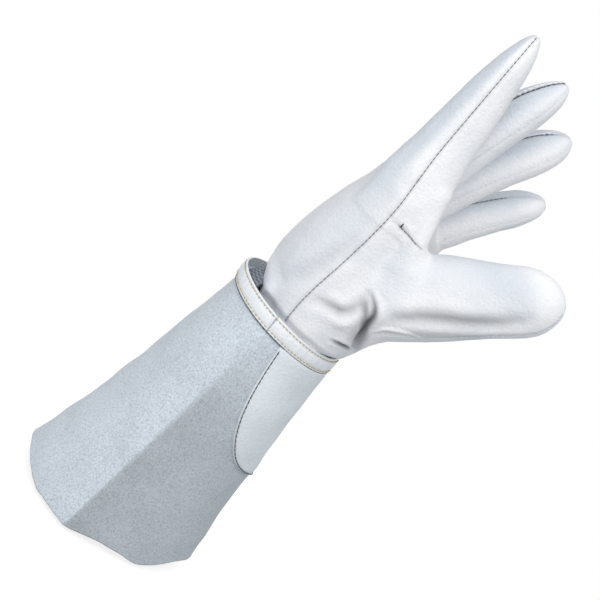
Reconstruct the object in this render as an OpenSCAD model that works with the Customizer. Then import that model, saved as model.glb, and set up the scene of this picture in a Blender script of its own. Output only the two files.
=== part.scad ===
// Left-hand leather welding gauntlet, standing on the rim of its cuff.
// +Z runs from the rim to the finger tips, +X is the palm side, -Y is the thumb side.

/* [Leather] */
// Thickness of the smooth grain leather of the hand
grain_t = 1.3; // [0.9:0.1:1.8]
// Thickness of the split leather of the cuff
split_t = 1.5; // [1.1:0.1:2.2]
// Gap that a sewn joint leaves between two panels
seam_gap = 0.12; // [0.05:0.01:0.3]

/* [Cuff] */
// Height of the cuff from its rim to the wristband, at the thumb side
cuff_h = 151; // [100:1:200]
// Rim: reach from the fold lines to the back of the cuff
rim_back = 47.5; // [40:0.5:60]
// Rim: reach from the fold lines to the palm side of the cuff
rim_palm = 66; // [50:0.5:75]
// Rim: half width across the two fold lines
rim_side = 64; // [50:0.5:75]
// How sharp the fold lines are at the rim, 1 is a plain ellipse
fold_sharpness = 1.5; // [1:0.05:1.8]
// How far the rim is cut up at the middle of the back
rim_lift_back = 9; // [0:0.5:12]
// How far the rim is cut up at the middle of the palm side
rim_lift_palm = 11; // [0:0.5:14]

/* [Wrist] */
// Wrist: reach from the side seams to the back
wrist_back = 32; // [28:0.5:38]
// Wrist: reach from the side seams to the palm side
wrist_palm = 39; // [34:0.5:44]
// Wrist: half width from side to side
wrist_side = 42; // [38:0.5:46]
// Where the side seams stand at the wrist, measured along X
wrist_x = 8; // [4:0.5:12]
// Width of the sewn wristband
band_w = 10; // [7:0.5:14]
// Slope of the wristband, falling towards the palm
band_slope = 0.14; // [0:0.01:0.2]
// Length of one stitch of the wristband
stitch_len = 2.6; // [1.5:0.1:4]

/* [Hand] */
// Spacing of the fingers at the knuckles
finger_pitch = 25; // [24.9:0.1:28]
// Height of the index knuckle above the rim
knuckle_z = 262; // [255:1:270]
// How far the little finger's knuckle is cupped towards the palm
cup_depth = 23; // [15:1:26]
// How much lower the little finger's knuckle sits than the index one
cup_drop = 24; // [18:1:28]

/* [Digits] */
// Length from knuckle to tip: index, middle, ring, little
finger_len = [96, 92, 85, 66]; // [60:1:105]
// How far each finger hangs towards the palm at rest, in degrees
finger_lean = [0, 17, 28, 36]; // [0:1:40]
// Half depth of each finger just past its knuckle
finger_root = [19, 18.5, 17.5, 14.5]; // [13:0.5:20]
// Half depth of each finger near its tip
finger_end = [11.6, 11.6, 12, 10.6]; // [9:0.1:13]
// Half width of each finger at its knuckle
finger_half_w = [12.3, 12.3, 12.2, 11.6]; // [10:0.1:12.3]
// Sideways reach of each finger tip from its knuckle
finger_splay = [-3.5, -1, 3, 8]; // [-8:0.5:10]
// Length of the thumb from its web to its tip
thumb_len = 71; // [60:1:80]
// Half height of the thumb at its web, in the plane of its bend
thumb_root = 23.4; // [20:0.1:25]
// Angle of the thumb from the hand's long direction
thumb_lean = 50; // [45:1:55]

/* [Hidden] */
BACK = ["index_back", "middle_back", "ring_back", "little_back"];
PALM = ["index_palm", "middle_palm", "ring_palm", "little_palm"];

grain = "#F1F4F8";
split = "#BCC4CC";
smooth_patch = "#DCE4EA";
thread = "#4A4E55";
tan_thread = "#B9AE8E";
elastic = "#6A7079";

// Angles run round a section: 0 palm, 90 thumb side, 180 back, 270 little finger side.
RADIAL = 90;
DORSAL = 180;
ULNAR = 270;
JOINT_GAP = 0.4;      // clear space left at each bend line
LIFT = 0.3;           // how far a part sewn on top stands off the leather below

// ---- plain functions ------------------------------------------------------------
function mix(a, b, t) = a + (b - a) * t;
function clamp(t) = min(1, max(0, t));
function ease(t) = let (u = clamp(t)) u * u * (3 - 2 * u);
function signed_pow(c, e) = sign(c) * pow(abs(c), e);

// Value at t (0 to 1) of a smooth curve through evenly spaced values.
function curve(list, t) =
    let (
        n = len(list) - 1,
        k = min(n - 1, floor(clamp(t) * n)),
        f = clamp(t) * n - k,
        p0 = list[max(0, k - 1)],
        p1 = list[k],
        p2 = list[k + 1],
        p3 = list[min(n, k + 2)]
    )
    p1 + f / 2 * ((p2 - p0) + f * ((2 * p0 - 5 * p1 + 4 * p2 - p3) + f * (3 * p1 - p0 - 3 * p2 + p3)));

// Flattens a list of rows into one list.
function flat(rows) = [for (row = rows) each row];

// Triangles of a grid of rows x cols points starting at index first.
function sheet_faces(rows, cols, first, turn) = [
    for (r = [0 : rows - 2], c = [0 : cols - 2])
        let (
            a = first + r * cols + c,
            b = a + 1,
            d = a + cols,
            e = d + 1
        )
        each turn ? [[a, b, e], [a, e, d]] : [[a, e, b], [a, d, e]]
];

// Triangles that join the two borders of an outer and an inner sheet.
function rim_faces(rows, cols) =
    let (
        half = rows * cols,
        border = concat(
            [for (c = [0 : cols - 2]) c],
            [for (r = [0 : rows - 2]) r * cols + cols - 1],
            [for (c = [cols - 1 : -1 : 1]) (rows - 1) * cols + c],
            [for (r = [rows - 1 : -1 : 1]) r * cols]
        ),
        n = len(border)
    )
    [for (i = [0 : n - 1])
        let (a = border[i], b = border[(i + 1) % n])
        each [[a, half + a, half + b], [a, half + b, b]]];

// A closed sheet of leather between two grids of points.
module leather(outer, inner) {
    rows = len(outer);
    cols = len(outer[0]);
    polyhedron(
        points = concat(flat(outer), flat(inner)),
        faces = concat(
            sheet_faces(rows, cols, 0, true),
            sheet_faces(rows, cols, rows * cols, false),
            rim_faces(rows, cols)
        ),
        convexity = 6
    );
}

// A solid skinned over closed rings of points, with flat ends.
module skinned(rings) {
    rows = len(rings);
    cols = len(rings[0]);
    polyhedron(
        points = flat(rings),
        faces = concat(
            [for (r = [0 : rows - 2], c = [0 : cols - 1])
                let (
                    a = r * cols + c,
                    b = r * cols + (c + 1) % cols,
                    d = a + cols,
                    e = b + cols
                )
                each [[a, b, e], [a, e, d]]],
            [[for (c = [cols - 1 : -1 : 0]) c]],
            [[for (c = [0 : cols - 1]) (rows - 1) * cols + c]]
        ),
        convexity = 6
    );
}

// A thread laid along a path of points.
module thread_line(path, radius) {
    n = len(path);
    skinned([
        for (i = [0 : n - 1])
            let (
                d = path[min(n - 1, i + 1)] - path[max(0, i - 1)],
                t = d / norm(d),
                u0 = cross(t, [1, 0.3, 0]),
                u = u0 / norm(u0),
                w = cross(t, u)
            )
            [for (k = [0 : 5]) path[i] + radius * (u * cos(60 * k) - w * sin(60 * k))]
    ]);
}

// Separate stitches along a path: one small bar from each even point to the next.
module stitches(path, thick) {
    for (i = [0 : 2 : len(path) - 2]) {
        d = path[i + 1] - path[i];
        translate(path[i])
            rotate([0, acos(d[2] / norm(d)), atan2(d[1], d[0])])
                translate([-thick / 2, -thick / 2, 0])
                    cube([thick, thick, norm(d)]);
    }
}

// Angles from one side of a panel to the other, in even steps.
function span(from, to, steps) = [for (i = [0 : steps]) mix(from, to, i / steps)];

// ---- cuff -----------------------------------------------------------------------
CUFF_WAIST = 1.5;                           // how far the sides of the cuff bow in
CUFF_TOP = 1 + 0.5 * band_w / cuff_h;       // it ends half way up under the wristband

// Height of the wristband's lower edge above a point x of the wrist.
function band_z(x) = cuff_h - band_slope * (x - wrist_x);

// Height of the rim where it is cut up at the back and at the palm.
function rim_z(x) =
    x > 0 ? rim_lift_palm * ease((x - 34) / 24) : rim_lift_back * ease((-x - 30) / 28);

// A point of the cuff: a turns round it, v climbs from rim (0) to band (1).
function cuff_point(a, v, off = 0) =
    let (
        c = signed_pow(cos(a), mix(fold_sharpness, 1, v)),
        reach = c > 0 ? mix(rim_palm, wrist_palm, v) : mix(rim_back, wrist_back, v),
        waist = CUFF_WAIST * sin(180 * clamp(v)),
        x = mix(-9, wrist_x, v) + (reach - waist + off) * c,
        y = -(mix(rim_side, wrist_side, v) + off) * sin(a)
    )
    [x, y, mix(rim_z(x), band_z(x), v)];

module cuff_wrap() {
    ends = 0.1;
    angles = span(ULNAR - 360 + ends, ULNAR - ends, 52);
    levels = span(0, CUFF_TOP, 8);
    color(split)
        leather(
            [for (v = levels) [for (a = angles) cuff_point(a, v)]],
            [for (v = levels) [for (a = angles) cuff_point(a, v, -split_t)]]
        );
}

module cuff_seam_thread() {
    color(thread)
        stitches([for (i = [0 : 47]) cuff_point(ULNAR + 4, 0.03 + 0.93 * i / 47, 0.6)], 0.6);
}

// Half angle that the pulse patch covers at w, 0 at the band and 1 at its round end.
patch_angle = 74;
patch_len = 0.53;
function patch_half(w) = max(1.5, patch_angle * (1 - 0.35 * w) * sqrt(max(0, 1 - pow(w, 4))));
function patch_point(u, w, off) = cuff_point(u * patch_half(w), 1 - patch_len * w, off);

module pulse_patch() {
    rows = [for (i = [0 : 12]) sin(90 * i / 12)];
    columns = span(-1, 1, 18);
    color(smooth_patch)
        leather(
            [for (w = rows) [for (u = columns) patch_point(u, 0.01 + 0.99 * w, LIFT + grain_t)]],
            [for (w = rows) [for (u = columns) patch_point(u, 0.01 + 0.99 * w, LIFT)]]
        );
}

module pulse_patch_thread() {
    n = 40;
    side = [for (i = [0 : n]) [0.94, 0.05 + 0.86 * i / n]];
    color(thread)
        for (flip = [-1, 1])
            stitches([for (p = side) patch_point(flip * p[0], p[1], LIFT + grain_t + 0.5)], 0.6);
}

// ---- wristband ------------------------------------------------------------------
// A point of the wristband: h is the height above the band's lower edge.
function band_point(a, h, off) =
    let (p = cuff_point(a, 1, off))
    [p[0], p[1], band_z(p[0]) + h];

module band_strip(from, to) {
    gap = seam_gap / 2 / wrist_side * 57;
    angles = span(from + gap, to - gap, 26);
    heights = [0, band_w / 2, band_w];
    color(grain)
        leather(
            [for (h = heights) [for (a = angles) band_point(a, h, LIFT + grain_t)]],
            [for (h = heights) [for (a = angles) band_point(a, h, LIFT)]]
        );
}

module wristband_back() band_strip(RADIAL, ULNAR);
module wristband_palm() band_strip(ULNAR - 360, RADIAL);

module band_stitches(h) {
    round = 3.14159 * (wrist_side + (wrist_back + wrist_palm) / 2);
    count = 2 * floor(round / stitch_len / 2);
    color(tan_thread)
        stitches(
            [for (i = [0 : count - 1]) band_point(360 * i / count, h, LIFT + grain_t + 0.4)],
            0.5
        );
}

module wristband_lower_thread() band_stitches(1.4);
module wristband_upper_thread() band_stitches(band_w - 1.4);

// The gathered elastic inside the pleat at the back of the wrist.
module wrist_elastic() {
    angles = span(DORSAL - 44, DORSAL + 44, 24);
    heights = span(0, 1, 4);
    gather = [for (a = angles) 0.7 * sin((a - DORSAL) * 40)];
    function point(i, h, off) =
        let (p = cuff_point(angles[i], 1, -split_t - 1.6 - 5 * h + gather[i] + off))
        [p[0], p[1], band_z(p[0]) + mix(5.5, band_w + 4, h)];
    color(elastic)
        leather(
            [for (h = heights) [for (i = [0 : 24]) point(i, h, 0)]],
            [for (h = heights) [for (i = [0 : 24]) point(i, h, -0.9)]]
        );
}

// ---- digits ---------------------------------------------------------------------
// Unit directions of a digit that leans towards the palm.
function along(lean) = [sin(lean), 0, cos(lean)];
function palmward(lean) = [cos(lean), 0, -sin(lean)];

// Knuckle of finger i: its centre, on the cupped line of knuckles.
function cupped(y) = pow(clamp((y + 12) / (3 * finger_pitch / 2 + 12)), 1.5);
function knuckle(i) =
    let (y = (i - 1.5) * finger_pitch)
    [17.5 + cup_depth * cupped(y), y, knuckle_z - 1.5 * (i > 0 ? 1 : 0) - cup_drop * cupped(y)];

// How far the digit has narrowed at s, for a round end that begins at s0.
function round_end(s, s0) = s < s0 ? 1 : sqrt(max(0, 1 - pow((s - s0) / (1 - s0), 2)));
END_START = [0.42, 0.62, 0.7, 0.66];

function finger_depth(i, s) =
    mix(finger_end[i], finger_root[i], pow(1 - s, 2.2)) * round_end(s, END_START[i]);
function finger_breadth(i, s) =
    mix(finger_half_w[i], finger_half_w[i] - 1.6, s) * round_end(s, 0.72);

// The bend line leans half as much as the finger does.
function finger_centre(i, s) =
    let (
        curl = finger_lean[i] * 0.12,
        lean = finger_lean[i] + curl * (s - 0.5)
    )
    knuckle(i) + finger_len[i] * s * along(lean) + [0, finger_splay[i] * pow(s, 1.3), 0];

// A point of finger i: a turns round it, s runs from its knuckle (0) to its tip (1).
function finger_point(i, a, s, off = 0) =
    let (
        reach = 1 + off / finger_len[i] * s,
        depth = max(0.3, finger_depth(i, s) + off),
        breadth = max(0.3, finger_breadth(i, s) + off),
        lean = mix(finger_lean[i] / 2, finger_lean[i], ease(s * 4))
    )
    finger_centre(i, s * reach) + depth * cos(a) * palmward(lean) - [0, breadth * sin(a), 0]
        + JOINT_GAP * along(lean);

function finger_levels(n) = [for (k = [0 : n]) sin(90 * k / n)];

module finger_panel(i, from, to, steps) {
    gap = seam_gap / 2 / finger_half_w[i] * 57;
    angles = span(from + gap, to - gap, steps);
    levels = finger_levels(11);
    color(grain)
        leather(
            [for (s = levels) [for (a = angles) finger_point(i, a, s)]],
            [for (s = levels) [for (a = angles) finger_point(i, a, s, -grain_t)]]
        );
}

// Seams of the fingers: where back and forchette meet, and forchette and palm.
SEAM_BACK = 52;
SEAM_PALM = 58;
SIDE = 92;

module index_back() finger_panel(0, SIDE, ULNAR - 90 + SEAM_BACK, 8);
module index_inner_forchette() finger_panel(0, DORSAL + SEAM_BACK, 360 - SEAM_PALM, 4);
module index_palm() finger_panel(0, -SEAM_PALM, SIDE, 8);

module middle_back() finger_panel(1, DORSAL - SEAM_BACK, DORSAL + SEAM_BACK, 6);
module middle_index_forchette() finger_panel(1, SEAM_PALM, DORSAL - SEAM_BACK, 4);
module middle_ring_forchette() finger_panel(1, DORSAL + SEAM_BACK, 360 - SEAM_PALM, 4);
module middle_palm() finger_panel(1, -SEAM_PALM, SEAM_PALM, 6);

module ring_back() finger_panel(2, DORSAL - SEAM_BACK, DORSAL + SEAM_BACK, 6);
module ring_middle_forchette() finger_panel(2, SEAM_PALM, DORSAL - SEAM_BACK, 4);
module ring_little_forchette() finger_panel(2, DORSAL + SEAM_BACK, 360 - SEAM_PALM, 4);
module ring_palm() finger_panel(2, -SEAM_PALM, SEAM_PALM, 6);

module little_back() finger_panel(3, DORSAL - SEAM_BACK, 360 - SIDE, 8);
module little_inner_forchette() finger_panel(3, SEAM_PALM, DORSAL - SEAM_BACK, 4);
module little_palm() finger_panel(3, -SIDE, SEAM_PALM, 8);

module finger_thread(i, seams) {
    color(thread)
        for (a = seams)
            thread_line([for (k = [0 : 13]) finger_point(i, a, 0.02 + 0.9 * k / 13, 0.5)], 0.4);
}

module index_seam_thread() finger_thread(0, [SIDE, DORSAL + SEAM_BACK]);
module middle_seam_thread() finger_thread(1, [DORSAL - SEAM_BACK, DORSAL + SEAM_BACK]);
module ring_seam_thread() finger_thread(2, [DORSAL - SEAM_BACK, DORSAL + SEAM_BACK]);
module little_seam_thread() finger_thread(3, [DORSAL - SEAM_BACK, 360 - SIDE]);

// ---- thumb ----------------------------------------------------------------------
THUMB_WEB = [62.3, -30, 218.2];     // centre of the thumb's bend section
THUMB_SPLAY = -14;                  // how far the tip stands out to the side

function thumb_point(a, s, off = 0) =
    let (
        depth = max(0.3, mix(thumb_root, 19, ease(s * 1.4)) * round_end(s, 0.66) + off),
        breadth = max(0.3, mix(17.5, 14.5, ease(s * 1.6)) * round_end(s, 0.7) + off)
    )
    THUMB_WEB + (thumb_len * s + JOINT_GAP + off * s) * along(thumb_lean)
        + [0, THUMB_SPLAY * pow(s, 1.2), 0]
        + depth * cos(a) * palmward(thumb_lean) - [0, breadth * sin(a), 0];

module thumb_panel(from, to, steps) {
    gap = 0.2;
    angles = span(from + gap, to - gap, steps);
    levels = finger_levels(11);
    color(grain)
        leather(
            [for (s = levels) [for (a = angles) thumb_point(a, s)]],
            [for (s = levels) [for (a = angles) thumb_point(a, s, -grain_t)]]
        );
}

THUMB_SEAMS = [30, 236];
module thumb_back() thumb_panel(THUMB_SEAMS[0], THUMB_SEAMS[1], 16);
module thumb_front() thumb_panel(THUMB_SEAMS[1] - 360, THUMB_SEAMS[0], 12);
module thumb_seam_thread() {
    color(thread)
        for (a = THUMB_SEAMS)
            thread_line([for (k = [0 : 13]) thumb_point(a, 0.02 + 0.9 * k / 13, 0.5)], 0.4);
}

// ---- hand -----------------------------------------------------------------------
// The hand between wristband and knuckles: its back and palm outline at even heights.
HAND_BACK_X = [-10, -17.5, -16, -10, -2];
HAND_PALM_X = [45, 46, 45, 42, 37];
HAND_HALF_W = [41, 44.5, 47.5, 49.6, 50];
HAND_ROUND = 0.86;
CREST = 6.5;           // how far the far edge of the hand lies below the knuckles

// Height of the hand's far edge, a little below the line of the knuckles.
// x is counted from the middle of the hand's depth.
function hand_top(x, y) =
    knuckle_z - CREST - cup_drop * cupped(y) - x * tan(18 * sqrt(cupped(y)));

// How far the little finger's side of the hand is bent towards the palm.
function bow(y, v) = cup_depth * cupped(y) * pow(max(0, v), 1.6);

function hand_point(a, v, off = 0) =
    let (
        back = curve(HAND_BACK_X, v),
        front = curve(HAND_PALM_X, v),
        half = curve(HAND_HALF_W, v) + off,
        y = -half * signed_pow(sin(a), HAND_ROUND),
        depth = ((front - back) / 2 + off) * signed_pow(cos(a), HAND_ROUND),
        x = (back + front) / 2 + depth
    )
    [x + bow(y, v), y, mix(band_z(x) + 4, hand_top(depth, y), v)];

module palm_body(off) {
    low = off < 0 ? -0.06 : 0;
    high = 1 + off / 100;
    skinned([
        for (v = span(low, high, 9))
            [for (a = [0 : 10 : 350]) hand_point(a, v, off)]
    ]);
}

// The root of finger i inside the hand, up to its bend line.
module finger_root_body(i, off) {
    lean = finger_lean[i] / 2;
    top = off < 0 ? 2 : 0;
    skinned([
        for (s = [-26, -18, -9, top])
            let (
                c = knuckle(i) + s * along(lean * (s < 0 ? 0.7 : 1)),
                depth = finger_root[i] + off - 0.06 * max(0, -s - 9),
                breadth = finger_half_w[i] + off - 0.02 * max(0, -s)
            )
            [for (a = [0 : 18 : 342])
                c + depth * cos(a) * palmward(lean) - [0, breadth * sin(a), 0]]
    ]);
}

// The ball of the thumb, from the wrist to the thumb's bend line.
BALL_X = [24, 29, 39.5, THUMB_WEB[0]];
BALL_Y = [-11, -17, -24, THUMB_WEB[1]];
BALL_Z = [158, 179, 200, THUMB_WEB[2]];
BALL_LEAN = [8, 22, 40, thumb_lean];
BALL_DEPTH = [23, 26, 26, thumb_root];
BALL_WIDTH = [24, 24, 21.5, 17.5];

module thumb_ball(off) {
    last = off < 0 ? 1.03 : 1;
    first = off < 0 ? -0.02 : 0;
    skinned([
        for (t = span(first, last, 7))
            let (
                lean = curve(BALL_LEAN, t),
                c = [curve(BALL_X, t), curve(BALL_Y, t), curve(BALL_Z, t)]
                    + max(0, t - 1) * 60 * along(lean) - max(0, -t) * 60 * [0, 0, 1],
                depth = curve(BALL_DEPTH, t) + off,
                width = curve(BALL_WIDTH, t) + off
            )
            [for (a = [0 : 15 : 345])
                c + depth * cos(a) * palmward(lean) - [0, width * sin(a), 0]]
    ]);
}

module hand_solid(off) {
    palm_body(off);
    thumb_ball(off);
    for (i = [0 : 3])
        finger_root_body(i, off);
}

// Everything in the lane of finger i that lies beyond its bend line.
module beyond_knuckle(i) {
    translate(knuckle(i))
        rotate([0, finger_lean[i] / 2, 0])
            translate([-80, -finger_pitch / 2, 0])
                cube([160, finger_pitch, 60]);
}

// Everything that lies below the hand: the band, and the pleat at the back.
module below_hand() {
    clearance = band_w + JOINT_GAP;
    for (trim = [[band_slope, clearance, 90], [0.55, clearance - 1.5, wrist_x]])
        rotate([90, 0, 0])
            translate([0, 0, -70])
                linear_extrude(140)
                    polygon([
                        [-60, 100],
                        [-60, cuff_h + trim[1] + trim[0] * (60 + wrist_x)],
                        [trim[2], cuff_h + trim[1] - trim[0] * (trim[2] - wrist_x)],
                        [trim[2], 100]
                    ]);
}

module hand_shell() {
    difference() {
        hand_solid(0);
        hand_solid(-grain_t);
        for (i = [0 : 3])
            beyond_knuckle(i);
        below_hand();
    }
}

// Side seams of the hand, from the wristband to the index and the little finger.
SEAM_X = [12, 12, 16, 19, 18.5];
SEAM_Z = [140, 178, 208, 240, 290];

// A point of the cut between the back and the palm of the hand.
function seam_surface(y, t) =
    let (z = curve(SEAM_Z, t), v = (z - 158) / (knuckle_z - 158))
    [curve(SEAM_X, t) + bow(y, min(1.1, v)), y, z];

// Half of the space round the hand: from its seams to a plane at x = far.
module half_space(far, shift) {
    ys = span(-80, 80, 32);
    ts = span(0, 1, 8);
    cut = [for (t = ts) [for (y = ys) seam_surface(y, t) + [shift, 0, 0]]];
    wall = [for (t = ts) [for (y = ys) [far, y, curve(SEAM_Z, t)]]];
    leather(far > 0 ? cut : wall, far > 0 ? wall : cut);
}

module back_half() half_space(-70, -seam_gap / 2);
module palm_half() half_space(130, seam_gap / 2);

// Outline of the thumb side panel in the palm, from the wrist up to the thumb's web.
THENAR_Y = [7, 4, -2, -8, -17, -36, -90];
THENAR_Z = [130, 172, 204, 225, 236.5, 241, 244];
module thumb_side(grow) {
    rotate([90, 0, 90])
        linear_extrude(150)
            polygon(concat(
                [for (k = [0 : 24])
                    [curve(THENAR_Y, k / 24) + grow, curve(THENAR_Z, k / 24) + grow]],
                [[-90 + grow, 120], [7 + grow, 120]]
            ));
}

module hand_back() {
    color(grain)
        resize([0, 0, 0])
            intersection() {
                hand_shell();
                back_half();
            }
}

module hand_palm() {
    color(grain)
        resize([0, 0, 0])
            difference() {
                intersection() {
                    hand_shell();
                    palm_half();
                }
                thumb_side(seam_gap);
            }
}

module thumb_side_panel() {
    color(grain)
        resize([0, 0, 0])
            intersection() {
                hand_shell();
                palm_half();
                thumb_side(0);
            }
}

// A folded strip sewn into the corner between the index finger and the thumb.
module crotch_welt() {
    path = [[25, -48.6, 243], [31, -46.4, 241.6], [37, -43, 240.2], [43, -38.5, 239]];
    color(grain)
        thread_line([for (k = [0 : 8]) [
            curve([for (p = path) p[0]], k / 8),
            curve([for (p = path) p[1]], k / 8) - 1.2,
            curve([for (p = path) p[2]], k / 8)
        ]], 1.1);
}

function hand_seam_point(t, flip) =
    let (
        u = mix(0.15, 0.8, t),
        z = curve(SEAM_Z, u),
        top = hand_top(0, flip * finger_pitch * 1.9),
        v = (z - cuff_h - 4) / (top - cuff_h - 4),
        y = flip * (curve(HAND_HALF_W, v) + 0.9),
        w = (z - 158) / (knuckle_z - 158)
    )
    [curve(SEAM_X, u) + bow(y, w), y, z];

module side_seam_thread() {
    color(thread)
        thread_line([for (k = [0 : 12]) hand_seam_point(k / 12, -1)], 0.4);
}

module outer_seam_thread() {
    color(thread)
        thread_line([for (k = [0 : 12]) hand_seam_point(0.9 * k / 12, 1)], 0.4);
}

cuff_wrap();
cuff_seam_thread();
pulse_patch();
pulse_patch_thread();
wristband_back();
wristband_palm();
wristband_lower_thread();
wristband_upper_thread();
wrist_elastic();
hand_back();
hand_palm();
thumb_side_panel();
crotch_welt();
side_seam_thread();
outer_seam_thread();
index_back();
middle_back();
ring_back();
little_back();
index_palm();
middle_palm();
ring_palm();
little_palm();
index_inner_forchette();
middle_index_forchette();
middle_ring_forchette();
ring_middle_forchette();
ring_little_forchette();
little_inner_forchette();
index_seam_thread();
middle_seam_thread();
ring_seam_thread();
little_seam_thread();
thumb_back();
thumb_front();
thumb_seam_thread();
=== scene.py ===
"""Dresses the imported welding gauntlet: leather skins, sewn seams, cuff, wristband and a pale studio."""

import logging
import math
from dataclasses import dataclass, field
from enum import Enum

import bpy
import numpy as np
from mathutils import Matrix, Vector
from mathutils.kdtree import KDTree


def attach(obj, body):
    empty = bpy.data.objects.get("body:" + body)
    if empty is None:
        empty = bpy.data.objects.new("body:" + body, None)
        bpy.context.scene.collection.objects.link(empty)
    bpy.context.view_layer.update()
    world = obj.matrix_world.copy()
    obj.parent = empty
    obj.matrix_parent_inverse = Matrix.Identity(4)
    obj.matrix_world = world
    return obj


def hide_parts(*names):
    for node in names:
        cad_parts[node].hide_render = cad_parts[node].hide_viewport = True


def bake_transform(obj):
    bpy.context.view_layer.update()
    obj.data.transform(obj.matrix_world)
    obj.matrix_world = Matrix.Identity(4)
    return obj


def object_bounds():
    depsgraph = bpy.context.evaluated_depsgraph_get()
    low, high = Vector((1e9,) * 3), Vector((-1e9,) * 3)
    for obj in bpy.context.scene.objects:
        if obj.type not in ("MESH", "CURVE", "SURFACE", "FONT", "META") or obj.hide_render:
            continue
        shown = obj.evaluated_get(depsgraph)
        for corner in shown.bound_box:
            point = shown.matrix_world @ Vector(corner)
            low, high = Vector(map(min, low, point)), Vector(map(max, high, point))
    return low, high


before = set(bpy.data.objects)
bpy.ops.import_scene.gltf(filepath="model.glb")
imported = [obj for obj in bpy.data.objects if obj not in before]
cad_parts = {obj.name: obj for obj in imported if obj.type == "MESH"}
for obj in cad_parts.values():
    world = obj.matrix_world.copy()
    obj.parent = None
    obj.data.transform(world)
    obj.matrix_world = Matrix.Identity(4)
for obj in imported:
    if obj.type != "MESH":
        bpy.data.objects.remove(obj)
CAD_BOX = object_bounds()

logging.basicConfig(level=logging.INFO, format="%(message)s")
LOG = logging.getLogger("gauntlet")
MM = 0.001
FAR = 1e3  # a field's value where its form is nowhere near
NAMES = ("index", "middle", "ring", "little", "thumb")
THUMB = 4
WHOLE = (0.0, 1.0)


class Body(str, Enum):
    """The rigid bodies of the frame that pieces ride on."""

    CUFF = "cuff"
    HAND = "hand"
    INDEX = "index_finger"
    MIDDLE = "middle_finger"
    RING = "ring_finger"
    LITTLE = "little_finger"
    THUMB = "thumb"


class Slot(str, Enum):
    """The material slots that the record names."""

    GRAIN = "grain_leather"
    SPLIT = "split_leather"
    PATCH = "patch_leather"
    BAND = "band_leather"
    DARK = "dark_thread"
    TAN = "tan_thread"
    ELASTIC = "elastic_webbing"


# ---- plain functions --------------------------------------------------------------
def mix(a, b, t):
    """Returns the value a share t of the way from a to b."""
    return a + (b - a) * t


def ease(t):
    """Returns a soft step: 0 below 0, 1 above 1, smooth between."""
    u = np.clip(t, 0.0, 1.0)
    return u * u * (3 - 2 * u)


def bell(t):
    """Returns a smooth hump, 1 at 0 and nearly 0 beyond 2."""
    return np.exp(-np.square(t))


def unit(v: np.ndarray) -> np.ndarray:
    """Returns vectors of length 1 in the directions of v's rows."""
    return v / np.maximum(np.linalg.norm(v, axis=-1, keepdims=True), 1e-12)


def curve(values: list[float], t) -> np.ndarray:
    """Reads a smooth curve through evenly spaced values.

    Args:
        values: the values that the curve passes.
        t: where to read it, 0 at the first value and 1 at the last.

    Returns:
        The curve's value at each t.
    """
    v = np.asarray(values, float)
    n = len(v) - 1
    u = np.clip(np.asarray(t, float), 0, 1) * n
    k = np.minimum(n - 1, np.floor(u)).astype(int)
    f = u - k
    p0, p1, p2, p3 = v[np.maximum(0, k - 1)], v[k], v[k + 1], v[np.minimum(n, k + 2)]
    return p1 + f / 2 * ((p2 - p0) + f * ((2 * p0 - 5 * p1 + 4 * p2 - p3) + f * (3 * p1 - p0 - 3 * p2 + p3)))


def along(lean: float) -> np.ndarray:
    """Returns the unit direction of a digit that leans towards the palm by lean degrees."""
    a = math.radians(lean)
    return np.array([math.sin(a), 0.0, math.cos(a)])


def palmward(lean: float) -> np.ndarray:
    """Returns the palm side's unit direction of a digit that leans by lean degrees."""
    a = math.radians(lean)
    return np.array([math.cos(a), 0.0, -math.sin(a)])


def smooth_union(a: np.ndarray, b: np.ndarray, k: float) -> np.ndarray:
    """Joins two fields, negative inside, with a fillet about k millimetres wide."""
    h = np.clip(0.5 + 0.5 * (b - a) / k, 0, 1)
    return mix(b, a, h) - k * h * (1 - h)


def wave_noise(p: np.ndarray, length: float, seed: int) -> np.ndarray:
    """Soft seeded noise made of crossing waves.

    Args:
        p: points in millimetres.
        length: typical wave length in millimetres.
        seed: which pattern.

    Returns:
        Values of about -1 to 1.
    """
    rng = np.random.default_rng(seed)
    out = np.zeros(len(p))
    for _ in range(9):
        d = rng.normal(size=3)
        d *= 2 * math.pi / (length * rng.uniform(0.7, 1.6) * np.linalg.norm(d))
        out += np.sin(p @ d + rng.uniform(0, 2 * math.pi))
    return out / 4.0


def run_of(path: np.ndarray) -> np.ndarray:
    """Returns the length of a path up to each of its points."""
    return np.concatenate([[0], np.cumsum(np.linalg.norm(np.diff(path, axis=0), axis=1))])


def read(at: np.ndarray, run: np.ndarray, rows: np.ndarray) -> np.ndarray:
    """Reads rows of three numbers, given at the lengths run, at the lengths at."""
    return np.stack([np.interp(at, run, rows[:, k]) for k in range(3)], axis=1)


def resample(path: np.ndarray, step: float) -> np.ndarray:
    """Returns points spaced evenly along a path, about step apart, ends included."""
    p = np.asarray(path, float)
    run = run_of(p)
    return read(np.linspace(0, run[-1], max(2, int(round(run[-1] / step)) + 1)), run, p)


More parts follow.
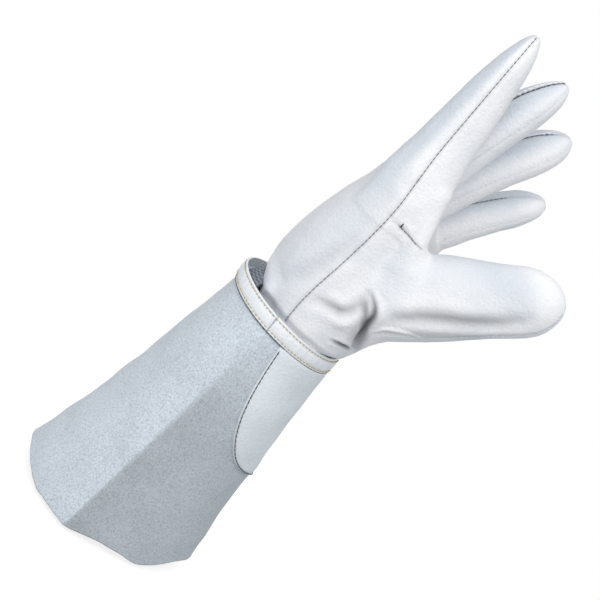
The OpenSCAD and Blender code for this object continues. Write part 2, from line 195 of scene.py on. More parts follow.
def nearest(p: np.ndarray, path: np.ndarray, reach: float) -> tuple[np.ndarray, np.ndarray]:
    """Distance from each point to a path, for points near it.

    Args:
        p: the points.
        path: closely spaced points of the path.
        reach: distance beyond which the answer is only "far".

    Returns:
        Distances, and how far along the path the nearest point lies, 0 to 1.
    """
    dist = np.full(len(p), FAR)
    share = np.zeros(len(p))
    last = len(path) - 1
    near = np.flatnonzero(np.all((p > path.min(0) - reach) & (p < path.max(0) + reach), axis=1))
    for part in np.array_split(near, len(near) * len(path) // 4_000_000 + 1):
        if not len(part):
            continue
        d = np.linalg.norm(p[part][:, None, :] - path[None, :, :], axis=2)
        j = d.argmin(1)
        t = unit(path[np.minimum(j + 1, last)] - path[np.maximum(j - 1, 0)])
        rel = p[part] - path[j]
        across = np.linalg.norm(rel - np.einsum("ij,ij->i", rel, t)[:, None] * t, axis=1)
        dist[part] = np.where((j > 0) & (j < last), across, d[np.arange(len(part)), j])
        share[part] = j / last
    return dist, share


# ---- finishes ---------------------------------------------------------------------
def linear(code: str) -> tuple[float, float, float, float]:
    """Turns an sRGB hex colour into linear red, green and blue with an alpha of 1."""
    c = [int(code[i : i + 2], 16) / 255 for i in (1, 3, 5)]
    r, g, b = [x / 12.92 if x <= 0.04045 else ((x + 0.055) / 1.055) ** 2.4 for x in c]
    return (r, g, b, 1.0)


def node(tree: bpy.types.NodeTree, kind: str, settings: dict | None = None,
         links: dict | None = None) -> bpy.types.Node:
    """Adds one shader node with its settings and links.

    Args:
        tree: the material's or world's node tree.
        kind: the node's type name, after "ShaderNode".
        settings: properties by name, and socket values by socket name or number.
        links: input socket name or number to the output socket that feeds it.

    Returns:
        The new node.
    """
    n = tree.nodes.new("ShaderNode" + kind)
    for key, value in (settings or {}).items():
        if isinstance(key, str) and hasattr(n, key):
            setattr(n, key, value)
        else:
            n.inputs[key].default_value = value
    for key, source in (links or {}).items():
        tree.links.new(source, n.inputs[key])
    return n


def blank(owner: bpy.types.Material | bpy.types.World) -> bpy.types.NodeTree:
    """Empties the node tree of a material or a world and returns it."""
    owner.use_nodes = True
    owner.node_tree.nodes.clear()
    return owner.node_tree


class Recipe:
    """A material being mixed: the few kinds of node that every finish here is made of."""

    def __init__(self, name: str) -> None:
        """Starts an empty material."""
        self.material = bpy.data.materials.new(name)
        self.tree = blank(self.material)
        self.place = node(self.tree, "TexCoord").outputs["Object"]

    def pattern(self, kind: str, out: str, **settings) -> bpy.types.NodeSocket:
        """Adds a texture over the object's own coordinates and returns its output."""
        return node(self.tree, "Tex" + kind, settings, {"Vector": self.place}).outputs[out]

    def noise(self, scale: float, detail: float, **settings) -> bpy.types.NodeSocket:
        """Adds noise with scale cells to the metre."""
        return self.pattern("Noise", "Fac", Scale=scale, Detail=detail, **settings)

    def painted(self, name: str) -> bpy.types.NodeSocket:
        """Reads a number that the mesh carries at its points."""
        return node(self.tree, "Attribute", {"attribute_name": name}).outputs["Fac"]

    def ramp(self, source: bpy.types.NodeSocket, *stops: tuple[float, str]) -> bpy.types.NodeSocket:
        """Turns a number into the colours of stops, each a position and a colour."""
        n = node(self.tree, "ValToRGB", {}, {"Fac": source})
        for _ in stops[2:]:
            n.color_ramp.elements.new(0.5)
        for element, (position, colour) in zip(n.color_ramp.elements, stops):
            element.position, element.color = position, linear(colour)
        return n.outputs["Color"]

    def mixed(self, share, first, second, mode: str = "MIX") -> bpy.types.NodeSocket:
        """Mixes two colours, each a value or an output, by a share that is a number or an output."""
        given = {0: share, 6: first, 7: second}
        links = {key: value for key, value in given.items() if isinstance(value, bpy.types.NodeSocket)}
        fixed = {key: value for key, value in given.items() if key not in links}
        return node(self.tree, "Mix", {"data_type": "RGBA", "blend_type": mode, **fixed}, links).outputs[2]

    def bump(self, strength: float, distance: float, height, under=None) -> bpy.types.NodeSocket:
        """Adds relief, distance metres deep, over the relief under it."""
        links = {"Height": height} | ({"Normal": under} if under else {})
        return node(self.tree, "Bump", {"Strength": strength, "Distance": distance}, links).outputs[0]

    def finished(self, colour, relief, settings: dict) -> bpy.types.Material:
        """Closes the recipe with a surface of that colour, relief and settings."""
        skin = node(self.tree, "BsdfPrincipled", settings, {"Base Color": colour, "Normal": relief})
        node(self.tree, "OutputMaterial", {}, {"Surface": skin.outputs[0]})
        return self.material


@dataclass(frozen=True)
class GrainLeather:
    """Goatskin, chrome tanned and left undyed: near-white with a fine pebbled grain and a soft sheen."""

    name: str = "goatskin grain side, chrome tanned"
    pale: str = "#F8F8FA"
    shade: str = "#ECEFF4"
    # Colour of dirt along the seams and of painted shade in the folds.
    dirt_and_shade_colour: str = "#54585E"
    grain_mm: float = 1.5
    roughness: float = 0.58
    # Colour of the painted shade on the hand's back, where the skin faces away from the key lamp.
    back: str = "#CBD3DD"

    def material(self) -> bpy.types.Material:
        """Returns the node material: mottled tone, painted shade on the hand's back, pebbled bump, dirt along
        the seams and painted shade in the folds.
        """
        r = Recipe(self.name)
        tone = r.ramp(r.noise(28.0, 4.0), (0.36, self.shade), (0.60, self.pale))
        # Painted shade on the hand's back.
        back_shaded = r.mixed(r.painted("painted_back_shade"), tone, linear(self.back))
        # Dirt along the seams and painted shade in the folds.
        dirt_and_shade = r.mixed(r.painted("dirt_and_painted_shade"), back_shaded, linear(self.dirt_and_shade_colour))
        pebbles = r.pattern("Voronoi", "Distance", feature="SMOOTH_F1", Scale=1000 / self.grain_mm)
        fine = r.noise(900.0, 3.0)
        height = node(r.tree, "Math", {"operation": "ADD"}, {0: pebbles, 1: fine}).outputs[0]
        relief = r.bump(0.6, 0.0004, height, r.bump(0.25, 0.0012, r.noise(110.0, 3.0)))
        return r.finished(r.mixed(0.12, dirt_and_shade, fine, "MULTIPLY"), relief,
                          {"Roughness": self.roughness, "IOR": 1.45, "Sheen Weight": 0.06})


@dataclass(frozen=True)
class SplitLeather:
    """Cow split, both faces brushed: a matt grey nap with pale and dark fibres that reads as speckle."""

    name: str = "cow split leather, brushed nap"
    pale: str = "#DDE5EE"
    mid: str = "#CAD3DC"
    dark: str = "#A8B0B9"
    # Colour multiplied in as painted shade on the cuff's palm half.
    palm_shade_colour: str = "#D8D7D5"
    fibre_mm: float = 1.0

    def material(self) -> bpy.types.Material:
        """Returns the node material: speckled fibres drawn coarse enough to show, painted shade on the palm
        half, with a nap bump.
        """
        r = Recipe(self.name)
        speck = r.noise(1000 / self.fibre_mm, 3.0, Roughness=0.7)
        fibres = r.ramp(speck, (0.30, self.dark), (0.5, self.mid), (0.72, self.pale))
        spread = {1: 0.3, 2: 0.7, 3: 0.93, 4: 1.04}
        patchy = node(r.tree, "MapRange", spread, {0: r.noise(45.0, 4.0)}).outputs[0]
        body = r.mixed(1.0, fibres, patchy, "MULTIPLY")
        # Painted shade: the cuff's palm half is darkened, most just past the side fold.
        body = r.mixed(r.painted("painted_palm_shade"), body, linear(self.palm_shade_colour), "MULTIPLY")
        relief = r.bump(0.55, 0.0005, speck, r.bump(0.35, 0.0008, r.noise(260.0, 4.0)))
        return r.finished(body, relief, {"Roughness": 0.95, "IOR": 1.4, "Sheen Weight": 0.25,
                                         "Sheen Roughness": 0.6, "Specular IOR Level": 0.2})


@dataclass(frozen=True)
class Yarn:
    """Yarn in two tones of bands: slanted plies on a twisted thread, fine ribs on woven elastic."""

    name: str
    pale: str
    dark: str
    scale: float = 320.0
    direction: str = "DIAGONAL"
    distortion: float = 1.5
    relief: tuple = (0.3, 0.0002)
    roughness: float = 0.6
    sheen: float = 0.0

    def material(self) -> bpy.types.Material:
        """Returns the node material: a small hard line with its bands in tone and relief."""
        r = Recipe(self.name)
        band = r.pattern("Wave", "Fac", bands_direction=self.direction, Scale=self.scale,
                         Distortion=self.distortion)
        tone = r.mixed(band, linear(self.dark), linear(self.pale))
        return r.finished(tone, r.bump(*self.relief, band),
                          {"Roughness": self.roughness, "IOR": 1.5, "Sheen Weight": self.sheen})


FINISHES = {
    Slot.GRAIN: GrainLeather(),
    Slot.PATCH: GrainLeather("goatskin grain side, greyed by wear", "#E9EFF4", "#DFE6EC", "#B4BBC3",
                             1.3, 0.66),
    Slot.BAND: GrainLeather("goatskin band, folded and sewn", "#F3F6FA", "#E8EDF3", "#BFC5CC", 1.3, 0.55),
    Slot.SPLIT: SplitLeather(),
    Slot.DARK: Yarn("aramid thread, waxed, dark grey", "#5C6067", "#2E3136"),
    Slot.TAN: Yarn("aramid thread, natural yellow", "#CFC49A", "#A39468"),
    # The elastic's dark grey is partly painted shade: it darkens the pit behind the wristband.
    Slot.ELASTIC: Yarn("woven elastic, grey polyester", "#959CA6", "#5D646F", 314.0 / 0.9 / 2, "Z", 0.0,
                       (0.5, 0.0003), 0.85, 0.2),
}


# ---- meshes -----------------------------------------------------------------------
@dataclass(frozen=True)
class Stitch:
    """One stitch in millimetres: length, way to the next, half the thread's thickness and arch."""

    length: float
    pitch: float
    radius: float
    rise: float


def grid_faces(rows: int, cols: int, first: int = 0, loop_rows: bool = False,
               loop_cols: bool = True) -> list[tuple]:
    """Quads of a grid of points, rows of cols each.

    Args:
        rows: number of rows.
        cols: points in a row.
        first: number of the first point.
        loop_rows: whether the last row joins the first.
        loop_cols: whether each row's last point joins its first.

    Returns:
        Four vertex numbers for each quad.
    """
    out = []
    for r in range(rows if loop_rows else rows - 1):
        a, b = first + r * cols, first + (r + 1) % rows * cols
        for c in range(cols if loop_cols else cols - 1):
            d = (c + 1) % cols
            out.append((a + c, a + d, b + d, b + c))
    return out


def end_caps(rows: int, cols: int, first: int = 0) -> list[tuple]:
    """The two faces that close a tube of rows rings with cols points each."""
    last = first + (rows - 1) * cols
    return [tuple(first + c for c in range(cols - 1, -1, -1)), tuple(last + c for c in range(cols))]


def stitch_row(path: np.ndarray, normals: np.ndarray, stitch: Stitch) -> tuple[np.ndarray, list]:
    """Models a row of separate stitches, each an arched bead of thread.

    Args:
        path: closely spaced points of the seam.
        normals: outward direction at each of them.
        stitch: the stitch's sizes.

    Returns:
        Points and faces of the whole row.
    """
    run = run_of(path)
    turn = np.arange(6) * math.pi / 3
    lift = stitch.rise * np.array([-0.6, 0.75, 1, 0.75, -0.6])
    thick = stitch.radius * np.array([0.45, 0.95, 1, 0.95, 0.45])
    points, faces = [], []
    for k in range(max(1, int((run[-1] - stitch.length) / stitch.pitch) + 1)):
        at = k * stitch.pitch + stitch.length * np.linspace(0, 1, 5)
        out = unit(read(at, run, normals))
        mid = read(at, run, path) + out * lift[:, None]
        t = unit(np.gradient(mid, axis=0))
        side = unit(np.cross(t, out))
        round_it = side[:, None] * np.cos(turn)[:, None] + np.cross(side, t)[:, None] * np.sin(turn)[:, None]
        points.append((mid[:, None] + thick[:, None, None] * round_it).reshape(-1, 3))
        faces += grid_faces(5, 6, k * 30) + end_caps(5, 6, k * 30)
    return np.concatenate(points), faces


def surface_nets(values: np.ndarray, origin: np.ndarray, step: float) -> tuple[np.ndarray, np.ndarray]:
    """Turns a grid of field values into a quad mesh of its zero surface.

    Args:
        values: field values, negative inside.
        origin: position of the first grid point.
        step: grid spacing.

    Returns:
        Vertex positions, and four vertex numbers for each quad.
    """
    def moved(cells: np.ndarray, axes: tuple, steps: tuple) -> np.ndarray:
        out = cells.copy()
        out[:, axes] -= steps
        return out

    inside = values < 0
    shape = np.array(values.shape) - 1
    total, count = np.zeros((*shape, 3), np.float32), np.zeros(shape, np.float32)
    crossings = []
    for axis in range(3):
        lo, hi = ([slice(None)] * 3 for _ in range(2))
        lo[axis], hi[axis] = slice(0, -1), slice(1, None)
        lo, hi = tuple(lo), tuple(hi)
        cross = inside[lo] != inside[hi]
        at = np.argwhere(cross)
        where = at.astype(np.float32)
        where[:, axis] += (values[lo] / (values[lo] - values[hi] + 1e-20))[cross]
        crossings.append((at, inside[lo][cross]))
        others = [a for a in range(3) if a != axis]
        for steps in ((0, 0), (0, 1), (1, 0), (1, 1)):
            cell = moved(at, others, steps)
            ok = np.all((cell >= 0) & (cell < shape), axis=1)
            np.add.at(total, tuple(cell[ok].T), where[ok])
            np.add.at(count, tuple(cell[ok].T), 1)
    used = count > 0
    number = np.full(shape, -1, int)
    number[used] = np.arange(used.sum())
    quads = []
    for (at, starts_inside), axes in zip(crossings, ([1, 2], [2, 0], [0, 1])):
        ok = np.all((at[:, axes] >= 1) & (at[:, axes] < shape[axes]), axis=1)
        corners = [number[tuple(moved(at[ok], axes, steps).T)] for steps in ((1, 1), (0, 1), (0, 0), (1, 0))]
        quad = np.stack(corners, 1)
        back = ~starts_inside[ok]
        quad[back] = quad[back][:, ::-1]
        quads.append(quad)
    quads = np.concatenate(quads)
    return total[used] / count[used][:, None] * step + origin, quads[np.all(quads >= 0, axis=1)]


def placed(name: str, data: bpy.types.ID) -> bpy.types.Object:
    """Adds an object with that data to the scene and returns it."""
    out = bpy.data.objects.new(name, data)
    bpy.context.scene.collection.objects.link(out)
    return out


class Workshop:
    """Holds every finish, made once, and turns points into pieces and rows of stitches."""

    def __init__(self) -> None:
        """Makes the materials."""
        self.materials = {slot: finish.material() for slot, finish in FINISHES.items()}

    def piece(self, name: str, points: np.ndarray, faces: list | np.ndarray, slot: Slot,
              normals: np.ndarray | None = None, layers: dict | None = None) -> bpy.types.Object:
        """Makes a smooth mesh object from points in millimetres.

        Args:
            name: the piece's name.
            points: vertex positions in millimetres.
            faces: vertex numbers of each face.
            slot: the record's material slot, which sets the finish.
            normals: vertex normals to keep, if they aren't the mesh's own.
            layers: number per vertex by attribute name.

        Returns:
            The new object, linked to the scene.
        """
        mesh = bpy.data.meshes.new(name)
        mesh.from_pydata((np.asarray(points) * MM).tolist(), [], [tuple(int(i) for i in f) for f in faces])
        mesh.polygons.foreach_set("use_smooth", [True] * len(mesh.polygons))
        for key, values in (layers or {}).items():
            layer = mesh.attributes.new(key, "FLOAT", "POINT")
            layer.data.foreach_set("value", np.asarray(values, np.float32))
        mesh.update()
        if normals is not None:
            mesh.normals_split_custom_set_from_vertices([tuple(n) for n in normals])
        mesh.materials.append(self.materials[slot])
        piece = placed(name, mesh)
        LOG.info("%s: %d faces", name, len(faces))
        return piece

    def sewn(self, name: str, path: np.ndarray, normals: np.ndarray, stitch: Stitch, slot: Slot = Slot.DARK):
        """Makes a row of stitches as one piece and returns it."""
        return self.piece(f"thread_{name}", *stitch_row(path, normals, stitch), slot)


def on_cuff(piece: bpy.types.Object, replaced: str | None = None) -> None:
    """Lets a piece ride on the cuff, in place of a solid if one is named."""
    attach(piece, Body.CUFF.value)
    if replaced:
        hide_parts(replaced)


# ---- forms ------------------------------------------------------------------------
@dataclass
class CuffForm:
    """The flared cuff's outline, in millimetres: a soft fold down each side, cut up at back and palm."""

    height: float = 151.0
    rim_x: float = -9.0
    rim_back: float = 47.5
    rim_palm: float = 66.0
    rim_side: float = 64.0
    fold: float = 1.5
    lift_back: float = 9.0
    lift_palm: float = 11.0
    wrist_x: float = 8.0
    wrist_back: float = 32.0
    wrist_palm: float = 39.0
    wrist_side: float = 42.0
    band_slope: float = 0.14
    waist: float = 1.5

    def band_z(self, x):
        """Height of the wristband's lower edge above x."""
        return self.height - self.band_slope * (x - self.wrist_x)

    def rim_z(self, x):
        """Height of the rim above x."""
        return np.where(x > 0, self.lift_palm * ease((x - 34) / 24), self.lift_back * ease((-x - 30) / 28))

    def point(self, a, v, off=0.0) -> np.ndarray:
        """Gives points of the cuff's surface.

        Args:
            a: angle round the cuff in degrees, 0 palm, 90 thumb side, 180 back.
            v: height, 0 at the rim and 1 at the band.
            off: distance outside the leather's outer face.

        Returns:
            Points with the shape of a, v and off broadcast together.
        """
        a, v, off = np.broadcast_arrays(np.radians(a), np.asarray(v, float), np.asarray(off, float))
        c = np.sign(np.cos(a)) * np.abs(np.cos(a)) ** mix(self.fold, 1.0, v)
        palm, back = mix(self.rim_palm, self.wrist_palm, v), mix(self.rim_back, self.wrist_back, v)
        reach = np.where(c > 0, palm, back)
        waist = self.waist * np.sin(math.pi * np.clip(v, 0, 1))
        x = mix(self.rim_x, self.wrist_x, v) + (reach - waist + off) * c
        y = -(mix(self.rim_side, self.wrist_side, v) + off) * np.sin(a)
        return np.stack([x, y, mix(self.rim_z(x), self.band_z(x), v)], -1)

    def outward(self, a: np.ndarray, v: np.ndarray) -> np.ndarray:
        """Unit directions straight out of the cuff's surface at angle a and height v."""
        du = self.point(a + 0.5, v) - self.point(a - 0.5, v)
        n = unit(np.cross(self.point(a, v + 0.01) - self.point(a, v - 0.01), du))
        middle = np.zeros_like(du)
        middle[..., 0] = mix(self.rim_x, self.wrist_x, v)
        return n * np.sign(np.sum(n * (self.point(a, v) - middle) * [1, 1, 0], -1, keepdims=True))

    def band_point(self, a: np.ndarray, h: float, off) -> np.ndarray:
        """Points of the wristband, h millimetres above its lower edge and off outside the cuff."""
        p = self.point(a, 1.0, off)
        p[..., 2] = self.band_z(p[..., 0]) + h
        return p


KNUCKLE_Z = 262.0  # height of the index knuckle
CUP_BOW = 23.0  # how far the little finger's knuckle stands towards the palm
CUP_DROP = 24.0  # how much lower it stands
PITCH = 25.0  # from finger to finger


def cupped(y):
    """How much of the cupping of the knuckles a point at y has, 0 to 1 at the little finger."""
    return np.clip((y + 12) / 49.5, 0, 1) ** 1.5


@dataclass
class PalmForm:
    """The hand between wrist and knuckles as a field, cupped towards the little finger."""

    cuff: CuffForm
    back_x: tuple = (-10.0, -17.5, -16.0, -10.0, -2.0)
    palm_x: tuple = (45.0, 46.0, 45.0, 42.0, 37.0)
    half_w: tuple = (41.0, 44.5, 47.5, 49.6, 50.0)
    roundness: float = 0.86
    crest: float = 6.5
    length: float = 97.0
    pleat: float = 3.0
    shoulder: float = 4.5
    tuck: float = 2.4

    def bow(self, y, v):
        """How far the hand is bent towards the palm at y and height share v."""
        return CUP_BOW * cupped(y) * np.maximum(0, v) ** 1.6

    def share(self, p: np.ndarray) -> tuple[np.ndarray, np.ndarray]:
        """Height share and distance from the middle of the hand's depth, for points p."""
        x, y, z = p.T
        low = self.cuff.band_z(x) + 4
        cup = cupped(y)
        v = (z - low) / (255 - low)
        for _ in range(4):
            v = np.clip(v, -0.2, 1.3)
            dx = x - self.bow(y, v) - (curve(self.back_x, v) + curve(self.palm_x, v)) / 2
            high = KNUCKLE_Z - self.crest - CUP_DROP * cup - dx * np.tan(np.radians(18 * np.sqrt(cup)))
            v = (z - low) / (high - low)
        return v, dx

    def field(self, p: np.ndarray) -> np.ndarray:
        """Field of the palm, negative inside, about in millimetres."""
        x, y, z = p.T
        v, dx = self.share(p)
        deep = (curve(self.palm_x, v) - curve(self.back_x, v)) / 2
        e = 2 / self.roundness
        q = (np.abs(dx / deep) ** e + np.abs(y / curve(self.half_w, v)) ** e) ** (1 / e) + 1e-6
        f = np.hypot(dx, y) * (1 - 1 / q)
        neck = self.cuff.band_z(x) + 12 + 0.42 * (8 - x)
        f += self.pleat * ease((neck + 2 - z) / 11) * ease((-6 - x) / 9)
        f -= self.shoulder * ease((np.abs(y) - 9) / 13) * ease((2 - x) / 10) * ease((neck + 9 - z) / 16)
        f += self.tuck * (1 + 0.45 * ease((x - 14) / 14)) * ease((self.cuff.band_z(x) + 14.5 - z) / 4.5)
        return -smooth_union(-f, (1 - v) * self.length, 5.0)


@dataclass
class TubeForm:
    """A digit as a loft of elliptical sections: centres, section directions and half sizes."""

    centres: np.ndarray
    leans: np.ndarray
    deep: np.ndarray
    wide: np.ndarray

    @classmethod
    def through(cls, stations: list[tuple]) -> "TubeForm":
        """Makes a tube from its stations, each a centre, a lean and two half sizes."""
        return cls(*(np.array(column, float) for column in zip(*stations)))

    def __post_init__(self) -> None:
        """Works out the section directions and the box that the tube fills."""
        self.axis = np.array([along(a) for a in self.leans])
        self.palm = np.array([palmward(a) for a in self.leans])
        reach = max(self.deep.max(), self.wide.max()) + 12
        self.lo, self.hi = self.centres.min(0) - reach, self.centres.max(0) + reach

    def section(self, k, t: np.ndarray) -> tuple[np.ndarray, np.ndarray, np.ndarray, np.ndarray]:
        """Centre, palmward direction and half sizes a share t of the way from station k to the next."""
        centre, way = (mix(rows[k], rows[k + 1], t[:, None]) for rows in (self.centres, self.palm))
        deep, wide = (mix(row[k], row[k + 1], t) for row in (self.deep, self.wide))
        return centre, way, deep, wide

    def local(self, p: np.ndarray) -> tuple[np.ndarray, np.ndarray, np.ndarray]:
        """Field, section angle in degrees and station number for points p."""
        near = np.flatnonzero(np.all((p > self.lo) & (p < self.hi), axis=1))
        q = p[near]
        g = [(q - centre) @ way for centre, way in zip(self.centres, self.axis)]
        best = np.full(len(q), FAR)
        turns, ats = np.zeros((2, len(q)))
        last = len(g) - 1
        for k in range(last):
            idx = np.flatnonzero((g[k] >= 0) & (g[k + 1] < 0) if k else (g[1] < 0) & (g[0] > -14))
            t = np.clip(g[k][idx] / (g[k][idx] - g[k + 1][idx] + 1e-9), 0, 1)
            centre, way, a, b = self.section(k, t)
            rel = q[idx] - centre
            dx, dy = np.einsum("ij,ij->i", rel, way), rel[:, 1]
            val = np.hypot(dx, dy) * (1 - 1 / (np.hypot(dx / a, dy / b) + 1e-6))
            if k == 0:
                val = np.maximum(val, -g[0][idx])
            better = val < best[idx]
            idx = idx[better]
            best[idx], ats[idx] = val[better], (k + t)[better]
            turns[idx] = (np.degrees(np.arctan2(-dy / b, dx / a)) % 360)[better]
        beyond = g[last] >= 0
        far = np.linalg.norm(q - self.centres[last], axis=1)
        f, turn, at = np.full(len(p), FAR), np.zeros(len(p)), np.zeros(len(p))
        f[near] = np.where(beyond & (far < best), far, best)
        turn[near], at[near] = turns, np.where(beyond, last, ats)
        return f, turn, at

    def point(self, turn: float, first: float, last: float) -> np.ndarray:
        """Sixty surface points at one section angle, from one station number to another."""
        at = np.linspace(first, last, 60)
        k = np.minimum(at.astype(int), len(self.centres) - 2)
        centre, way, deep, wide = self.section(k, at - k)
        out = centre + way * (deep * math.cos(math.radians(turn)))[:, None]
        out[:, 1] -= wide * math.sin(math.radians(turn))
        return out


STATIONS = [math.sin(math.radians(90 * k / 26)) for k in range(27)]  # shares of a digit's length


def round_end(s: float, start: float) -> float:
    """Share of its full size that a digit has at s, when its round end begins at start."""
    return 1.0 if s < start else math.sqrt(max(0.0, 1 - ((s - start) / (1 - start)) ** 2))


@dataclass
class FingerForm:
    """One finger's sizes in millimetres and degrees."""

    number: int
    length: float
    lean: float
    splay: float
    root: float
    tip: float
    half: float
    end_start: float
    slim: float = 0.45

    @property
    def knuckle(self) -> np.ndarray:
        """Centre of the finger's bend section."""
        y = (self.number - 1.5) * PITCH
        cup = float(cupped(y))
        drop = 1.5 if self.number > 0 else 0.0
        return np.array([17.5 + CUP_BOW * cup, y, KNUCKLE_Z - drop - CUP_DROP * cup])

    def tube(self) -> TubeForm:
        """Returns the finger's loft, from its root inside the hand to its tip."""
        out = []
        for s in (-26.0, -18.0, -9.0):
            out.append((self.knuckle + s * along(self.lean * 0.35), self.lean / 2,
                        self.root - 0.06 * max(0, -s - 9), self.half - self.slim - 0.02 * -s))
        for s in STATIONS:
            lean = self.lean * (1 + 0.12 * (s - 0.5))
            side = np.array([0.0, self.splay * s**1.3, 0.0])
            section = mix(self.lean / 2, self.lean, float(ease(s * 4)))
            centre = self.knuckle + self.length * s * along(lean) + side + 0.4 * along(section)
            deep = mix(self.tip, self.root, (1 - s) ** 2.2) * round_end(s, self.end_start)
            wide = (self.half - self.slim - 1.3 * s) * round_end(s, 0.72)
            out.append((centre, section, max(0.25, deep), max(0.25, wide)))
        return TubeForm.through(out)


@dataclass
class ThumbForm:
    """The thumb and its ball, in millimetres and degrees."""

    length: float = 71.0
    root: float = 23.4
    lean: float = 50.0
    splay: float = -14.0
    web: tuple = (62.3, -30.0, 218.2)

    def tube(self) -> TubeForm:
        """Returns the loft of ball and thumb, from the wrist to the tip."""
        ball = ([24, 29, 39.5, 62.3], [-11, -17, -24, -30], [158, 179, 200, 218.2],
                [8, 22, 40, self.lean], [23, 26, 26, self.root], [24, 24, 21.5, 17.5])
        out = []
        for t in np.linspace(0, 0.96, 12):
            x, y, z, *rest = (float(curve(values, t)) for values in ball)
            out.append(((x, y, z), *rest))
        for s in STATIONS:
            side = np.array([0.0, self.splay * s**1.2, 0.0])
            centre = np.array(self.web) + (self.length * s + 0.4) * along(self.lean) + side
            deep = mix(self.root, 19.0, float(ease(s * 1.4))) * round_end(s, 0.66)
            wide = mix(17.5, 14.5, float(ease(s * 1.6))) * round_end(s, 0.7)
            out.append((centre, self.lean, max(0.25, deep), max(0.25, wide)))
        return TubeForm.through(out)


# ---- the hand's leather -----------------------------------------------------------
@dataclass
class Fold:
    """A fold in the leather: a valley along a path, with a roll beside it and painted shade darkening it."""

    width: float
    depth: float
    roll: float
    # How dark the fold's painted shade is, 0 to 1.
    painted_shade: float
    path: list

    def press(self, p: np.ndarray) -> tuple[np.ndarray, np.ndarray]:
        """How far the fold moves the skin outwards at points p, and how dark its painted shade is there."""
        dist, share = nearest(p, resample(self.path, 1.0), self.width * 3.5)
        fade = np.sqrt(np.clip(np.sin(math.pi * np.clip(share, 0.02, 0.98)), 0, 1))
        near = dist < self.width * 3.4
        valley = bell(dist / self.width)
        side = bell((dist - 1.9 * self.width) / self.width)
        lift = np.where(near, fade * self.depth * (self.roll * side - valley), 0)
        return lift, np.where(near, self.painted_shade * fade**2 * bell(dist / (0.8 * self.width + 0.7)), 0)


# The folds that wearing has set at the thumb's base and over the wrist; a negative depth is a swelling, and
# the fourth number is the painted shade that darkens each fold.
FOLDS = (
    Fold(1.5, 3.8, 0.25, 1.0, [
        (35.8, -45.1, 202.2), (38.7, -45.5, 201.3), (41.2, -45.6, 199.9), (43.4, -45.4, 198.3),
        (44.8, -45.0, 196.6), (45.9, -44.4, 194.6), (46.4, -43.5, 192.1), (46.6, -42.4, 189.2),
        (47.0, -41.1, 186.4), (47.7, -39.6, 183.7), (47.9, -37.9, 180.7), (48.3, -35.9, 177.7),
        (49.0, -33.5, 174.8), (49.9, -30.0, 171.4), (51.0, -24.0, 167.5)]),
    Fold(3.3, 1.5, 0.0, 0.42, [
        (36.2, -44.4, 193.4), (39.9, -44.2, 192.2), (42.7, -43.5, 190.3), (44.4, -41.9, 186.4),
        (44.8, -40.0, 181.8), (45.3, -37.7, 177.5), (46.8, -34.4, 173.4), (48.5, -29.0, 169.0)]),
    Fold(2.9, 0.7, 0.0, 0.80, [
        (32.9, -45.0, 203.2), (36.0, -45.1, 200.3), (38.4, -45.1, 197.5), (40.4, -44.6, 194.2),
        (42.8, -43.9, 191.9), (44.5, -42.7, 188.9), (45.8, -41.0, 185.4), (48.0, -38.7, 182.4),
        (49.3, -35.7, 178.6), (50.0, -31.8, 173.8), (50.7, -27.8, 170.6), (51.4, -22.0, 166.5)]),
    Fold(2.4, -1.5, 0.0, 0.0, [
        (43.5, -45.9, 202.5), (46.6, -45.5, 200.0), (48.8, -44.5, 196.4), (49.8, -43.0, 192.3),
        (51.0, -41.0, 188.6)]),
    Fold(2.9, 2.1, 0.25, 0.36, [
        (17.0, -44.5, 179.7), (20.0, -44.6, 181.6), (26.1, -44.1, 183.2), (31.1, -43.3, 183.9),
        (34.5, -42.9, 187.0), (36.5, -43.9, 191.5), (38.5, -44.9, 196.5)]),
    Fold(2.2, 1.1, 0.1, 0.50, [
        (27.5, -44.0, 183.3), (31.1, -43.3, 183.9), (34.0, -42.9, 185.5)]),
    Fold(1.1, 2.2, 0.25, 1.0, [
        (36.6, -37.4, 167.7), (38.7, -36.6, 168.2), (41.5, -35.1, 168.7), (44.4, -33.2, 169.0),
        (47.5, -30.4, 169.0), (49.3, -28.4, 169.0), (51.5, -25.5, 168.6)]),
    Fold(4.0, 2.6, 0.30, 0.50, [
        (52.8, -43.1, 193.6), (57.7, -44.9, 201.1), (64.8, -46.2, 209.0), (75.3, -47.1, 216.8),
        (86.0, -47.7, 224.1), (97.9, -49.2, 234.1), (107.9, -53.0, 246.3)]),
    Fold(5.0, 0.3, 0.0, 0.26, [
        (55.0, -38.5, 188.0), (62.0, -40.0, 195.0), (72.0, -40.5, 203.5), (84.0, -41.5, 213.0),
        (97.0, -43.5, 224.0), (110.0, -47.0, 237.0)]),
    Fold(5.0, 1.7, 0.3, 0.12, [
        (-8.0, -34.6, 172.8), (-1.8, -39.6, 177.8), (3.6, -44.1, 189.0), (8.3, -46.5, 200.4),
        (12.2, -48.2, 212.4), (13.6, -49.2, 224.7)]),
    Fold(0.9, -0.8, 0.6, 0.0, [
        (51.5, -39.4, 187.4), (55.3, -40.9, 192.1), (60.4, -41.2, 195.9), (65.5, -41.0, 198.8),
        (70.1, -39.2, 199.5), (73.3, -36.7, 199.6)]),
    Fold(1.5, 1.1, 0.2, 0.35, [
        (52.0, -38.2, 184.6), (56.5, -39.9, 189.9), (61.5, -40.0, 193.4), (66.5, -39.6, 196.0)]),
    Fold(4.2, -1.7, 0.0, 0.0, [
        (32.0, -42.0, 179.0), (36.0, -41.9, 180.6), (40.0, -41.0, 181.6)]),
    Fold(5.0, -1.1, 0.0, 0.0, [
        (50.0, -44.6, 207.0), (54.0, -45.6, 208.0), (60.0, -46.6, 213.0)]),
)

